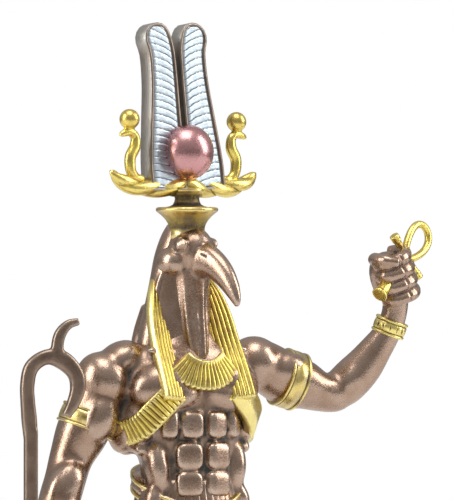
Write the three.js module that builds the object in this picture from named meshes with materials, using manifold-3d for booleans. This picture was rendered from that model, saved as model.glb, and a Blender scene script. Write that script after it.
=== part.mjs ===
// Ibis-headed god standing on a low plinth, a table-top casting in bronze-finished resin.
// Millimetres, +Z up. The figure faces -Y and its left side is +X. The origin is the middle of the
// plinth's underside.
import * as THREE from "three";
import { mergeVertices } from "three/addons/utils/BufferGeometryUtils.js";
import Module from "manifold-3d";

const wasm = await Module();
wasm.setup();

// Driving dimensions
const PLINTH = { width: 130, depth: 84, height: 12, edge: 1.6 };
const JOINT_GAP = 0.3;
const FIGURE_X = 10;
const FLOOR = PLINTH.height + JOINT_GAP;
const HEAD_TURN = THREE.MathUtils.degToRad(12);

// Tidying of the joined mesh: edges closed up below this length, the least cosine between a facet's
// old and new normal, and the hair kept where two walls touch
const SHORTEST_EDGE = 1.1;
const MOST_TURN = 0.86;
const TOUCH_GAP = 0.03;
const EMPTY_FACET = 1e-3;
const SLIVER_FACET = 0.02;

// Torso rings from the hips up: height, half width, half depth, forward or back shift
const TORSO = [
  [116, 15, 10.5, 1],
  [127, 19.3, 13.2, 0.6],
  [136, 19.2, 13.2, 0.3],
  [146, 16.4, 12.2, 0],
  [153, 18.0, 12.8, 0.6],
  [159, 22.0, 13.6, 1.2],
  [168, 25.2, 14.0, 1.4],
  [177, 26.0, 13.6, 1.8],
  [185, 23.5, 11.8, 3],
  [190, 16.5, 9.8, 3.6],
  [197, 8.0, 7.5, 3.4],
];
const CHEST = { x: 12.2, y: -4.6, z: 176, size: [13.6, 10.2, 9.6], lean: 0.3 };
const FLANK = { x: 20.6, y: 4.6, z: 167, size: [6.8, 9.6, 15], lean: -0.24 };
const TRAPEZIUS = { x: 15.5, y: 5.2, z: 184.4, size: [14.5, 7.2, 6.6], lean: 0.12 };
const ABDOMEN = {
  rows: [
    { z: 162.6, high: 4.9, columns: [4.6, 11.9], front: -11.2 },
    { z: 152.2, high: 5.1, columns: [5.6], front: -10.8 },
    { z: 142.4, high: 4.7, columns: [5.6], front: -10.8 },
    { z: 133.2, high: 4.3, columns: [5.4], front: -11.4 },
  ],
  gap: 0.2,
  fill: 0.94,
  outerHalf: 3.2,
  setBack: 2.0,
  turn: 0.22,
  outerTurn: 0.34,
  proud: 3.0,
  power: 0.66,
};

// Arms, from shoulder to wrist: place, half width, half depth. The bent one is drawn in two lengths.
const RIGHT_ARM = [
  [[-27.0, 4.8, 184], 7.0, 7.0],
  [[-30.4, 5.4, 176], 8.6, 8.8],
  [[-33.6, 6.4, 168], 9.2, 9.2],
  [[-37.2, 7.2, 160], 9.6, 9.4],
  [[-41.4, 8.0, 150.4], 7.4, 7.2],
  [[-44.6, 5.8, 143.6], 7.4, 7.0],
  [[-49.4, 2.2, 135.4], 6.9, 6.2],
  [[-54.4, -1.8, 127], 5.3, 4.7],
  [[-58.4, -5.0, 120], 4.3, 3.7],
  [[-60.2, -6.2, 116], 4.0, 3.4],
];
const LEFT_UPPER_ARM = [
  [[25.5, 4.4, 185.5], 7.0, 7.0],
  [[32.0, 4.0, 182.8], 8.8, 8.6],
  [[39.5, 3.0, 178.2], 10.0, 9.2],
  [[46.5, 2.2, 175.8], 9.6, 8.8],
  [[54.0, 1.4, 172.8], 7.8, 7.2],
  [[60.4, 0.8, 172.4], 7.1, 6.9],
  [[64.2, 0.0, 173.4], 5.2, 5.4],
];
const LEFT_FOREARM = [
  [[59.6, 1.4, 170.8], 5.0, 5.2],
  [[62.0, 0.4, 173.2], 6.9, 6.6],
  [[65.6, -1.0, 176.8], 7.3, 6.7],
  [[69.9, -3.0, 181.8], 6.9, 6.3],
  [[73.3, -5.0, 187.2], 5.9, 5.5],
  [[76.2, -6.8, 192.1], 5.2, 4.8],
  [[78.1, -8.2, 196.8], 4.8, 4.4],
  [[78.9, -9.4, 202.1], 4.7, 4.2],
  [[79.0, -10.0, 206], 4.8, 4.2],
];
const ARM_ACROSS = [0.86, -0.5, 0];
const SHOULDERS = [
  { at: [-30.4, 4.8, 177.9], size: [9.4, 10.4, 12.2], tilt: -0.3 },
  { at: [28.8, 4.0, 183.4], size: [9.8, 10.0, 9.8], tilt: -0.5 },
];

// Legs: the left foot steps forward, as such figures stand
const LEGS = [
  { side: -1, hip: [-9.8, 2.0, 117], knee: [-10.6, 4.6, 74], ankle: [-11.0, 11.5, 22], turnout: 0.14 },
  { side: 1, hip: [9.8, -1.0, 117], knee: [10.8, -9.0, 74], ankle: [11.2, -9.5, 22], turnout: 0.1 },
];
// Share of the way down the thigh or shin, half width, half depth, bulge to the back
const THIGH = [
  [0, 11.4, 11.8, 0],
  [0.4, 10.6, 11.0, 0],
  [0.75, 8.4, 8.8, 0],
];
const SHIN = [
  [0, 6.9, 7.2, 0],
  [0.14, 6.4, 6.8, 0],
  [0.34, 7.4, 7.8, 2.2],
  [0.62, 5.7, 5.9, 1.2],
  [0.88, 4.0, 4.3, 0],
  [1, 4.1, 4.6, 0],
];
const KNEECAP = { forward: 4.6, up: 1, size: [4.2, 3.4, 4.8] };
// Foot rings from the heel to the toes: forward, height of the middle, half width, half height
const FOOT = [
  [7.5, 3.2, 2.6, 2.6],
  [5, 3.6, 4.4, 4.2],
  [0, 4.6, 4.8, 5.2],
  [-8, 4.4, 5.2, 4.8],
  [-15, 3.0, 6.3, 3.4],
  [-21.5, 2.0, 6.2, 2.4],
  [-25, 1.6, 5.0, 1.6],
];
const TOE = { size: [1.55, 3.1, 1.7], z: 1.5 };
const TOES = { count: 5, spread: 10.5, reach: -24.1, longest: -0.28, fall: 3.2 };

// Kilt rings from the belt down: height, half width, half depth, shift
const KILT = [
  [139, 18.9, 13.4, 0.3],
  [127, 21.0, 15.6, -0.2],
  [110, 23.4, 18.4, -1.0],
  [91, 25.0, 20.4, -1.8],
];
const KILT_PLEATS = 22;
const PLEAT_DEPTH = 0.045;
// The belt dips to a V in front: height of its middle at the front and the back
const BELT = { height: 6.4, front: 130.5, back: 146.5, dip: 0.62, wide: 20.0, deep: 14.4, bulge: 1.02 };
const APRON = {
  top: 128, topY: -15.8, topWide: 5.2, bottom: 86, bottomY: -21.6, bottomWide: 9.6, thick: 2.4,
};

// Head and beak, in the head's own turned frame
const HEAD = { y: -1.0, z: 221.4, wide: 7.7, deep: 10.3, high: 9.8 };
const CHEEK = { x: 5.6, y: 1.4, z: 218.6, size: [5.4, 6.4, 5.4] };
const BROW = { x: 5.9, y: -5.2, z: 224.0, size: [1.9, 2.6, 1.5], slant: 0.5 };
const BEAK = [
  [[0, -4.5, 218.6], 5.2, 7.4],
  [[0, -10.0, 218.2], 4.5, 5.9],
  [[0, -15.4, 216.2], 3.7, 4.9],
  [[0, -20.2, 212.8], 3.0, 4.0],
  [[0, -23.8, 208.6], 2.2, 2.9],
  [[0, -25.4, 205.4], 1.4, 1.7],
  [[0, -25.8, 203.6], 0.5, 0.6],
];
const NECK = [
  [[0, -1.6, 214], 6.6, 6.8],
  [[0, -2.0, 206], 6.0, 6.2],
  [[0, -2.4, 198], 5.6, 6.0],
  [[0, -3.4, 190], 5.0, 5.6],
  [[0, -4.2, 184], 3.4, 4.2],
];
const NECK_FLUTES = 8;
const FLUTE_DEPTH = 0.1;

// Wig rings from the shoulders up: height, half width, half depth, shift
const WIG = [
  [187, 17.8, 9.5, 5.5],
  [198, 16.0, 9.2, 5.2],
  [206, 13.4, 8.8, 5.2],
  [213, 11.6, 8.4, 5.0],
  [220, 10.0, 8.2, 4.4],
  [226, 7.8, 7.6, 3.2],
  [230.5, 5.8, 6.0, 1.6],
];
const WIG_BACK = [
  [[0, 9.5, 200], 14.0, 4.5],
  [[0, 13.2, 190], 14.5, 4.0],
  [[0, 15.2, 180], 14.0, 3.2],
  [[0, 15.4, 171], 13.4, 2.4],
];
const LAPPET = [
  [[10.2, 4.4, 211], 2.2, 1.8],
  [[11.2, 2.0, 205], 4.0, 2.5],
  [[12.4, -1.8, 196.5], 4.8, 2.7],
  [[12.7, -6.2, 187.5], 4.9, 2.8],
  [[13.1, -11.4, 179], 4.9, 2.4],
  [[13.3, -14.8, 171.4], 4.8, 2.1],
];
const LAPPET_RIBS = 5;
const RIB_DEPTH = 0.2;

// Crown, in the head's own turned frame
// Cap and stem profile from below: radius, height
const CAP = [
  [0, 224.6],
  [6.6, 226.6],
  [6.2, 229.6],
  [7.1, 232],
  [9.5, 234.3],
  [10.6, 235.6],
  [10.6, 236.8],
  [9.5, 237.5],
  [5.7, 238.1],
  [4.1, 239.4],
  [4.1, 240.8],
  [6.1, 243],
  [0, 243.8],
];
const CAP_SIDES = 16;
const HORNS = { reach: 33.4, z: 244.0, rise: 5.2, radius: 2.9, y: 2.0, twist: 9.5, lobes: 0.2, steps: 15 };
// Horn rings: share of the reach, of the rise, of the radius
const HORN_RINGS = [
  [0, 0.14, 1.2],
  [0.25, 0, 1.06],
  [0.5, -0.04, 1.02],
  [0.74, 0.12, 0.96],
  [0.9, 0.5, 0.78],
  [1, 1, 0.22],
];
const PLUME = {
  base: 245, foot: -2, height: 56.2, outer: 16.8, waist: 13.2, top: 14.2, gap: 1.0, thick: 5.8, y: 1.6,
  lean: 0.1, roll: -0.028, bevel: 0.6,
};
const BARBS = { count: 13, low: 0.2, span: 0.7, rise: 1.4, radius: 0.5, rim: 1.1 };
const SUN = { z: 256.2, x: -0.5, y: -0.5, size: [9.5, 8.55, 9.5] };
const SERPENT = { x: 23.4, y: 1.8, z: 245.5, ball: 3.55, ballX: 24.6, ballZ: 267.2 };
// Serpent rings from tail to snout: shift outwards, height, half depth, half width
const SERPENT_RINGS = [
  [-4.4, 1.6, 1.1, 1.3],
  [-1.6, 1.8, 1.6, 1.9],
  [0.6, 4.2, 1.9, 1.9],
  [0.8, 8.6, 1.9, 1.9],
  [-1.4, 12.2, 1.9, 1.9],
  [-1.3, 15.6, 1.7, 1.9],
  [0.8, 17.2, 1.7, 1.6],
  [3.4, 16.8, 1.35, 1.4],
  [5.6, 16.2, 0.55, 0.65],
];

// Ornaments
const COLLAR = {
  y: -11, z: 192.9, inner: 8.6, outer: 18.8, spread: 0.86, rays: 11, thick: 1.7, valley: 0.62, notch: 1.4,
  upright: 78.5, bend: 0.013,
};
const STRAP = { wide: 4.6, proud: 1.7, ribs: 15, valley: 0.86, across: [0.35, 0, 1] };
const STRAP_PATH = [
  [12.8, -13.4, 173.5],
  [18.4, -11.2, 167.5],
  [22.0, -6.6, 162.0],
  [24.0, 1.5, 160.0],
  [22.0, 10.0, 164.5],
  [15.0, 14.2, 172],
  [9.5, 15.0, 180],
];
const ARMBAND = { high: 7.4, trim: 0.75 };
const BRACELET = { high: 5.8, trim: 0.6 };
// Where each band sits, the way the limb runs, its half width and depth
const BANDS = [
  { from: [-35.0, 6.8, 164.0], to: [-37.0, 7.3, 159.0], wide: 10.1, deep: 10.0, ...ARMBAND },
  { from: [42.4, 2.6, 177.2], to: [46.2, 2.2, 176.0], wide: 10.6, deep: 10.2, ...ARMBAND, across: [0, 1, 0] },
  { from: [77.6, -7.9, 195.4], to: [78.3, -8.5, 197.8], wide: 5.6, deep: 5.2, ...BRACELET },
  { from: [-55.6, -2.9, 124.8], to: [-56.8, -3.8, 122.8], wide: 5.5, deep: 5.0, ...BRACELET },
];

// Fists, and the ankh in the raised one
const LEFT_FIST = { at: [75.2, -11.8, 213.2], size: [8.4, 7.6, 9.2], turn: [0.1, -0.35, 0.55] };
const RIGHT_FIST = { at: [-63.8, -7.4, 111.4], size: [7.0, 7.0, 8.0], turn: [0.2, 0, 0.3] };
// Four fingers, as shares of the fist's size: how far they spread, and their knuckle, front and tip
const FINGERS = {
  count: 4, spread: 0.72, thick: 0.27, tipThick: 0.8, knuckle: [0.86, -0.2], front: [0.1, -0.98],
  tip: [-0.75, -0.55], palm: 0.8,
};
const ANKH = {
  cross: [81.6, -12.5, 220.1], foot: [66.3, -19.0, 206.7], footRadius: 2.5, armHalf: 9.6,
  armLean: [0.55, 0.1, -0.85], loopWide: 6.0, loopLong: 8.0, pinch: 0.25, sink: 0.3, tube: 1.35,
  tubeSides: 6, steps: 14,
};

// Sceptre: a four-sided rod, and the hooked animal head drawn in its own flat plane
const SCEPTRE = { x: -64.4, y: -7.2, half: 2.3, top: 162, turn: -0.33, sides: 8, power: 0.7 };
const FORK = { high: 16, spread: 2.4, tine: 1.27 };
const CHANNEL = { from: 60, to: 150, gap: 0.35, sides: 12 };
// Rings of the neck and snout, then of the crest: sideways, height, half width, share of the thickness
const HOOK = [
  [0, 161.5, 2.23, 0.97],
  [-0.6, 169, 2.5, 1],
  [-1.2, 176, 2.5, 1],
  [0.2, 183, 2.6, 1],
  [5.0, 186.4, 2.6, 1],
  [10.4, 185.6, 3.3, 1],
  [15.0, 181.2, 2.8, 1],
  [16.0, 176.0, 2.6, 1],
  [14.4, 170.8, 2.3, 0.9],
  [12.0, 166.6, 1.7, 0.8],
];
const CREST = [
  [9.8, 185.0, 2.6, 0.94],
  [9.0, 189.6, 2.2, 0.9],
  [10.0, 194.2, 2.0, 0.85],
  [12.8, 197.4, 1.6, 0.7],
  [16.6, 198.4, 1.2, 0.6],
];
const SQUARE = [[1, 1], [1, -1], [-1, -1], [-1, 1]];

const colours = {
  bronze: new THREE.MeshStandardMaterial({ color: 0x8c7361, roughness: 0.38, metalness: 0.85 }),
  darkBronze: new THREE.MeshStandardMaterial({ color: 0x6f5c4e, roughness: 0.42, metalness: 0.85 }),
  base: new THREE.MeshStandardMaterial({ color: 0x5a4a40, roughness: 0.5, metalness: 0.7 }),
};

const vec = (place) => new THREE.Vector3(place[0], place[1], place[2]);

// Turns a closed three.js geometry into a solid that can be joined and cut.
function solid(geometry) {
  const bare = new THREE.BufferGeometry();
  bare.setAttribute("position", geometry.getAttribute("position").clone());
  if (geometry.index) bare.setIndex(geometry.index.clone());
  const merged = mergeVertices(bare, 1e-4);
  const vertProperties = new Float32Array(merged.getAttribute("position").array);
  const triVerts = new Uint32Array(merged.index.array);
  return new wasm.Manifold(new wasm.Mesh({ numProp: 3, vertProperties, triVerts }));
}

// Gives the joined solid back as a three.js geometry, with the slivers along its seams closed up.
function geometryOf(joined, shortest) {
  const mesh = joined.getMesh();
  const corners = [];
  for (let i = 0; i < mesh.vertProperties.length; i += 3) {
    corners.push(new THREE.Vector3().fromArray(mesh.vertProperties, i));
  }
  const faces = [];
  for (let i = 0; i < mesh.triVerts.length; i += 3) faces.push([...mesh.triVerts.slice(i, i + 3)]);
  const kept = outerSkin(closeShortEdges(corners, faces, shortest));
  partTouching(corners, kept);
  const flat = kept.flatMap((face) => face.flatMap((corner) => corners[corner].toArray()));
  const geometry = new THREE.BufferGeometry();
  geometry.setAttribute("position", new THREE.Float32BufferAttribute(flat, 3));
  return mergeVertices(geometry, 1e-5);
}

// Where two walls meet in one point, each is drawn back a hair towards its own facets.
function partTouching(corners, faces) {
  const rings = new Map();
  for (const face of faces) {
    for (const corner of face) rings.set(corner, [...(rings.get(corner) ?? []), ...face]);
  }
  const found = new Map();
  for (const corner of rings.keys()) {
    const key = corners[corner].toArray().map((value) => value.toFixed(3)).join();
    found.set(key, [...(found.get(key) ?? []), corner]);
  }
  for (const corner of [...found.values()].filter((same) => same.length > 1).flat()) {
    const ring = rings.get(corner).filter((other) => other !== corner);
    const middle = ring.reduce((sum, other) => sum.add(corners[other]), new THREE.Vector3());
    middle.divideScalar(ring.length).sub(corners[corner]).setLength(TOUCH_GAP);
    corners[corner].add(middle);
  }
}

// Keeps the largest connected skin, so that a pocket shut up inside is solid.
function outerSkin(faces) {
  const root = new Map();
  const find = (corner) => {
    let top = corner;
    while (root.has(top) && root.get(top) !== top) top = root.get(top);
    root.set(corner, top);
    return top;
  };
  for (const [a, b, c] of faces) {
    root.set(find(a), find(b));
    root.set(find(b), find(c));
  }
  const skins = new Map();
  for (const face of faces) {
    const key = find(face[0]);
    skins.set(key, [...(skins.get(key) ?? []), face]);
  }
  return [...skins.values()].sort((first, second) => second.length - first.length)[0];
}

// Draws the ends of each short edge together where no nearby facet would turn over or fold.
function closeShortEdges(corners, faces, shortest) {
  const around = corners.map(() => new Set());
  faces.forEach((face, index) => face.forEach((corner) => around[corner].add(index)));
  const gone = new Set();
  const normalOf = ([a, b, c]) => new THREE.Vector3().subVectors(b, a).cross(c.clone().sub(a));
  const neighbours = (corner) => new Set([...around[corner]].flatMap((index) => faces[index]));
  const canMove = (from, to) => [...around[from]].every((index) => {
    const face = faces[index];
    if (face.includes(to)) return true;
    const before = normalOf(face.map((corner) => corners[corner]));
    const after = normalOf(face.map((corner) => corners[corner === from ? to : corner]));
    if (after.length() < EMPTY_FACET) return false;
    return before.length() < SLIVER_FACET || before.normalize().dot(after.normalize()) > MOST_TURN;
  });
  const close = (from, to) => {
    const nearTo = neighbours(to);
    const shared = [...neighbours(from)].filter((corner) => nearTo.has(corner));
    if (shared.length !== 4 || !canMove(from, to)) return false;
    for (const index of [...around[from]]) {
      const face = faces[index];
      if (face.includes(to)) {
        gone.add(index);
        face.forEach((corner) => around[corner].delete(index));
      } else {
        face[face.indexOf(from)] = to;
        around[to].add(index);
      }
    }
    around[from].clear();
    return true;
  };
  for (let limit = shortest / 4; limit <= shortest; limit += shortest / 4) {
    faces.forEach((face, index) => {
      for (let side = 0; side < 3 && !gone.has(index); side += 1) {
        const [from, to] = [face[side], face[(side + 1) % 3]];
        if (corners[from].distanceTo(corners[to]) < limit && !close(from, to)) close(to, from);
      }
    });
  }
  return faces.filter((_, index) => !gone.has(index));
}

const join = (parts) => parts.reduce((sum, part) => sum.add(part));

// A unit section of n points, from the front round by the +u side. The power squares it up.
function roundSection(n, power = 1) {
  return Array.from({ length: n }, (_, i) => {
    const angle = (i / n) * Math.PI * 2;
    const ease = (value) => Math.sign(value) * Math.abs(value) ** power;
    return [ease(Math.sin(angle)), ease(Math.cos(angle))];
  });
}

// A round section with shallow flutes cut into it.
function flutedSection(flutes, depth) {
  return roundSection(flutes * 2).map(([u, v], i) => {
    const scale = i % 2 === 0 ? 1 : 1 - depth;
    return [u * scale, v * scale];
  });
}

// A flat section with ribs along its front, for a lappet.
function ribbedSection(ribs, depth) {
  const front = Array.from({ length: ribs * 2 + 1 }, (_, i) => {
    const u = -1 + i / ribs;
    return [u, (i % 2 === 0 ? 1 - depth : 1) * Math.sqrt(1.05 - 0.55 * u * u)];
  });
  const middle = ribs;
  const back = [[1, -0.8], [0, -1], [-1, -0.8]];
  return [...front.slice(middle), ...back, ...front.slice(0, middle)];
}

// A solid drawn through rings set square to a smooth path. Each station is [place, half width, half
// depth], and across is the direction in which the width lies.
function loft(stations, section, steps, across = [1, 0, 0], swell = () => 1) {
  const n = section.length;
  const path = new THREE.CatmullRomCurve3(stations.map(([at]) => vec(at)), false, "centripetal");
  const sizes = new THREE.CatmullRomCurve3(
    stations.map(([, wide, deep]) => new THREE.Vector3(wide, deep, 0)), false, "catmullrom", 0.5);
  const geometry = new THREE.CylinderGeometry(1, 1, 1, n, steps);
  const position = geometry.getAttribute("position");
  for (let i = 0; i < position.count; i += 1) {
    const t = position.getY(i) + 0.5;
    const radius = Math.hypot(position.getX(i), position.getZ(i));
    const angle = Math.atan2(position.getX(i), position.getZ(i));
    const slot = ((Math.round((angle / (Math.PI * 2)) * n) % n) + n) % n;
    const [u, v] = radius > 0.5 ? section[slot] : [0, 0];
    const along = path.getTangent(t);
    const side = vec(across).addScaledVector(along, -vec(across).dot(along)).normalize();
    const front = new THREE.Vector3().crossVectors(side, along);
    const size = sizes.getPoint(t);
    const scale = swell(t, slot / n);
    const place = path.getPoint(t)
      .addScaledVector(side, u * size.x * scale)
      .addScaledVector(front, v * size.y * scale);
    position.setXYZ(i, place.x, place.y, place.z);
  }
  return solid(geometry);
}

// Upright rings given as [height, half width, half depth, shift].
const uprightRings = (rings) => rings.map(([z, wide, deep, y]) => [[0, y, z], wide, deep]);

// An ellipsoid, or with a power under 1 a pad with squarer sides.
function ellipsoid(at, size, turn = [0, 0, 0], wide = 12, high = 8, power = 1) {
  const geometry = new THREE.SphereGeometry(1, wide, high);
  geometry.rotateX(Math.PI / 2);
  const position = geometry.getAttribute("position");
  const ease = (value) => Math.sign(value) * Math.abs(value) ** power;
  for (let i = 0; i < position.count; i += 1) {
    position.setXYZ(i, ease(position.getX(i)), ease(position.getY(i)), ease(position.getZ(i)));
  }
  geometry.scale(...size);
  geometry.applyMatrix4(new THREE.Matrix4().makeRotationFromEuler(new THREE.Euler(...turn)));
  geometry.translate(...at);
  return solid(geometry);
}

// A ring of stations squared to a limb, for a band that sits on it.
function band({ from, to, wide, deep, high, trim, across = ARM_ACROSS }) {
  const start = vec(from);
  const along = vec(to).sub(start).normalize();
  const at = (distance) => start.clone().addScaledVector(along, distance).toArray();
  const edge = high / 2;
  const stations = [
    [at(-edge), wide + trim, deep + trim],
    [at(-edge + trim * 1.6), wide + trim, deep + trim],
    [at(-edge + trim * 1.7), wide, deep],
    [at(edge - trim * 1.7), wide, deep],
    [at(edge - trim * 1.6), wide + trim, deep + trim],
    [at(edge), wide + trim, deep + trim],
  ];
  return straightLoft(stations, roundSection(12), across);
}

// A loft whose rings are joined by straight walls.
function straightLoft(stations, section, across = [1, 0, 0]) {
  const n = section.length;
  const last = stations.length - 1;
  const along = vec(stations[last][0]).sub(vec(stations[0][0])).normalize();
  const side = vec(across).addScaledVector(along, -vec(across).dot(along)).normalize();
  const front = new THREE.Vector3().crossVectors(side, along);
  const geometry = new THREE.CylinderGeometry(1, 1, 1, n, last);
  const position = geometry.getAttribute("position");
  for (let i = 0; i < position.count; i += 1) {
    const [at, wide, deep] = stations[Math.round((position.getY(i) + 0.5) * last)];
    const radius = Math.hypot(position.getX(i), position.getZ(i));
    const angle = Math.atan2(position.getX(i), position.getZ(i));
    const slot = ((Math.round((angle / (Math.PI * 2)) * n) % n) + n) % n;
    const [u, v] = radius > 0.5 ? section[slot] : [0, 0];
    const place = vec(at).addScaledVector(side, u * wide).addScaledVector(front, v * deep);
    position.setXYZ(i, place.x, place.y, place.z);
  }
  return solid(geometry);
}

// Turns a solid of the head and crown into place with the head.
const turnHead = (part) => part.rotate([0, 0, THREE.MathUtils.radToDeg(HEAD_TURN)]);

function torso() {
  const parts = [loft(uprightRings(TORSO), roundSection(18, 0.88), 12)];
  for (const side of [-1, 1]) {
    parts.push(muscle(CHEST, side, 12, 8), muscle(FLANK, side, 8, 6), muscle(TRAPEZIUS, side, 8, 5));
    for (const { z, high, columns, front } of ABDOMEN.rows) {
      columns.forEach((column, index) => {
        const half = index === 0 ? (column - ABDOMEN.gap) * ABDOMEN.fill : ABDOMEN.outerHalf;
        const at = [side * column, front + index * ABDOMEN.setBack, z];
        const turn = [0, 0, side * (ABDOMEN.turn + index * ABDOMEN.outerTurn)];
        parts.push(ellipsoid(at, [half, ABDOMEN.proud, high], turn, 8, 4, ABDOMEN.power));
      });
    }
  }
  return join(parts);
}

// One of a pair of rounded muscles, on the given side.
function muscle({ x, y, z, size, lean }, side, wide, high) {
  return ellipsoid([side * x, y, z], size, [0, side * lean, 0], wide, high);
}

function arm(stations) {
  return loft(stations, roundSection(10), Math.round(stations.length * 1.3), ARM_ACROSS);
}

function shoulders() {
  return join(SHOULDERS.map(({ at, size, tilt }) => ellipsoid(at, size, [0, tilt, 0], 10, 7)));
}

// A closed fist: the palm, and four fingers wrapped round what it grips.
function fist({ at, size, turn }) {
  const [wide, deep, high] = size;
  const { count, spread, thick, tipThick, knuckle, front, tip, palm } = FINGERS;
  const parts = [ellipsoid([0, 0, 0], [wide * palm, deep * palm, high], [0, 0, 0], 8, 5, palm)];
  for (let i = 0; i < count; i += 1) {
    const z = high * spread * (1 - (2 * i) / (count - 1));
    const radius = high * thick;
    const stations = [[knuckle, 1], [front, 1], [tip, tipThick]].map(([[x, y], share]) => {
      return [[wide * x, deep * y, z], radius * share, radius * share];
    });
    parts.push(loft(stations, roundSection(6), 3, [0, 0, 1]));
  }
  const matrix = new THREE.Matrix4().makeRotationFromEuler(new THREE.Euler(...turn)).setPosition(vec(at));
  return join(parts).transform(matrix.elements.slice());
}

// The two angles of a torus vertex: round the ring, and round its tube.
function ringAngles(index, tubeSides, ringSteps) {
  const round = ((index % (ringSteps + 1)) / ringSteps) * Math.PI * 2;
  const up = (Math.floor(index / (ringSteps + 1)) / tubeSides) * Math.PI * 2;
  return [round, up];
}

function ankh() {
  const cross = vec(ANKH.cross);
  const foot = vec(ANKH.foot);
  const along = cross.clone().sub(foot).normalize();
  const lean = vec(ANKH.armLean);
  const side = lean.addScaledVector(along, -lean.dot(along)).normalize();
  const normal = new THREE.Vector3().crossVectors(side, along);
  const { loopWide, loopLong, pinch, sink, tube, tubeSides, steps } = ANKH;
  const ring = new THREE.TorusGeometry(1, 1, tubeSides, steps);
  const position = ring.getAttribute("position");
  for (let i = 0; i < position.count; i += 1) {
    const [round, up] = ringAngles(i, tubeSides, steps);
    const out = tube * Math.cos(up);
    const sideways = (loopWide + out) * Math.cos(round) * (1 - pinch + pinch * Math.sin(round));
    const upwards = loopLong - sink + (loopLong + out) * Math.sin(round);
    const at = cross.clone().addScaledVector(side, sideways).addScaledVector(along, upwards)
      .addScaledVector(normal, -tube * Math.sin(up));
    position.setXYZ(i, at.x, at.y, at.z);
  }
  const armEnd = (sign) => cross.clone().addScaledVector(side, sign * ANKH.armHalf).toArray();
  return join([
    solid(ring),
    capsule(armEnd(-1), armEnd(1), tube * 1.1, tube * 1.1, 8),
    capsule(ANKH.foot, ANKH.cross, ANKH.footRadius, tube, 10),
  ]);
}

// A round rod between two points, with flat ends.
function capsule(from, to, radiusFrom, radiusTo, sides) {
  const across = Math.abs(to[2] - from[2]) > Math.abs(to[0] - from[0]) ? [1, 0, 0] : [0, 0, 1];
  const stations = [[from, radiusFrom, radiusFrom], [to, radiusTo, radiusTo]];
  return straightLoft(stations, roundSection(sides), across);
}

function leg({ side, hip, knee, ankle, turnout }) {
  const down = (from, to) => ([share, wide, deep, bulge]) => {
    const at = vec(from).lerp(vec(to), share);
    return [[at.x, at.y + bulge, at.z], wide, deep];
  };
  const heel = [[ankle[0], ankle[1] + 0.4, FLOOR + 3.5], 4.4, 5.6];
  const stations = [...THIGH.map(down(hip, knee)), ...SHIN.map(down(knee, ankle)), heel];
  const cap = [knee[0], knee[1] - KNEECAP.forward, knee[2] + KNEECAP.up];
  return join([
    loft(stations, roundSection(10), 13),
    ellipsoid(cap, KNEECAP.size, [0, 0, 0], 6, 5),
    foot(ankle, side, turnout),
  ]);
}

// The foot runs forward from the heel, and is cut flat on the floor.
function foot(ankle, side, turnout) {
  const stations = FOOT.map(([forward, middle, wide, high]) => [[0, forward, middle], wide, high]);
  const parts = [loft(stations, roundSection(8), 6)];
  for (let i = 0; i < TOES.count; i += 1) {
    const share = i / (TOES.count - 1) - 0.5;
    const forward = TOES.reach + Math.abs(share - TOES.longest) * TOES.fall;
    parts.push(ellipsoid([share * TOES.spread, forward, TOE.z], TOE.size, [0, 0, 0], 6, 4));
  }
  const placed = join(parts).scale([side, 1, 1])
    .rotate([0, 0, THREE.MathUtils.radToDeg(side * turnout)])
    .translate([ankle[0], ankle[1], FLOOR]);
  const below = new THREE.BoxGeometry(60, 80, 20);
  below.translate(ankle[0], ankle[1], FLOOR - 10);
  return placed.subtract(solid(below));
}

function kilt() {
  const skirt = loft(uprightRings(KILT), flutedSection(KILT_PLEATS, PLEAT_DEPTH), 3);
  const belt = new THREE.CylinderGeometry(1, 1, 1, 20, 2);
  belt.rotateX(Math.PI / 2);
  const position = belt.getAttribute("position");
  for (let i = 0; i < position.count; i += 1) {
    const [x, y, z] = [position.getX(i), position.getY(i), position.getZ(i)];
    const back = Math.hypot(x, y) > 0.5 ? (0.5 + 0.5 * y) ** BELT.dip : 0.5;
    const bulge = Math.abs(z) < 0.1 ? BELT.bulge : 1;
    const middle = BELT.front + (BELT.back - BELT.front) * back;
    position.setXYZ(i, x * BELT.wide * bulge, y * BELT.deep * bulge, middle + z * BELT.height);
  }
  const apron = straightLoft([
    [[0, APRON.bottomY, APRON.bottom], APRON.bottomWide, APRON.thick],
    [[0, APRON.topY, APRON.top], APRON.topWide, APRON.thick],
  ], [[0, 1.2], ...SQUARE]);
  return join([skirt, solid(belt), apron]);
}

function head() {
  const parts = [
    ellipsoid([0, HEAD.y, HEAD.z], [HEAD.wide, HEAD.deep, HEAD.high], [0, 0, 0], 12, 9),
    loft(BEAK, roundSection(8, 0.92), 9),
    loft(NECK, flutedSection(NECK_FLUTES, FLUTE_DEPTH), 4),
  ];
  for (const side of [-1, 1]) {
    parts.push(ellipsoid([side * CHEEK.x, CHEEK.y, CHEEK.z], CHEEK.size, [0, 0, 0], 8, 6));
    parts.push(ellipsoid([side * BROW.x, BROW.y, BROW.z], BROW.size, [0, 0, side * BROW.slant], 6, 4));
  }
  return turnHead(join(parts));
}

function wig() {
  const across = [Math.cos(HEAD_TURN), Math.sin(HEAD_TURN), 0];
  const parts = [loft(uprightRings(WIG), roundSection(16), 7, across)];
  parts.push(loft(WIG_BACK, roundSection(12, 0.6), 3));
  for (const side of [-1, 1]) {
    const stations = LAPPET.map(([at, wide, deep]) => [[at[0] * side, at[1], at[2]], wide, deep]);
    parts.push(loft(stations.reverse(), ribbedSection(LAPPET_RIBS, RIB_DEPTH), 6, [1, -0.5 * side, 0]));
  }
  return join(parts);
}

// The flared cap and the stem that carries the horns.
function cap() {
  const profile = CAP.map(([radius, height]) => new THREE.Vector2(radius, height));
  const geometry = new THREE.LatheGeometry(profile, CAP_SIDES);
  geometry.rotateX(Math.PI / 2);
  return solid(geometry);
}

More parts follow.
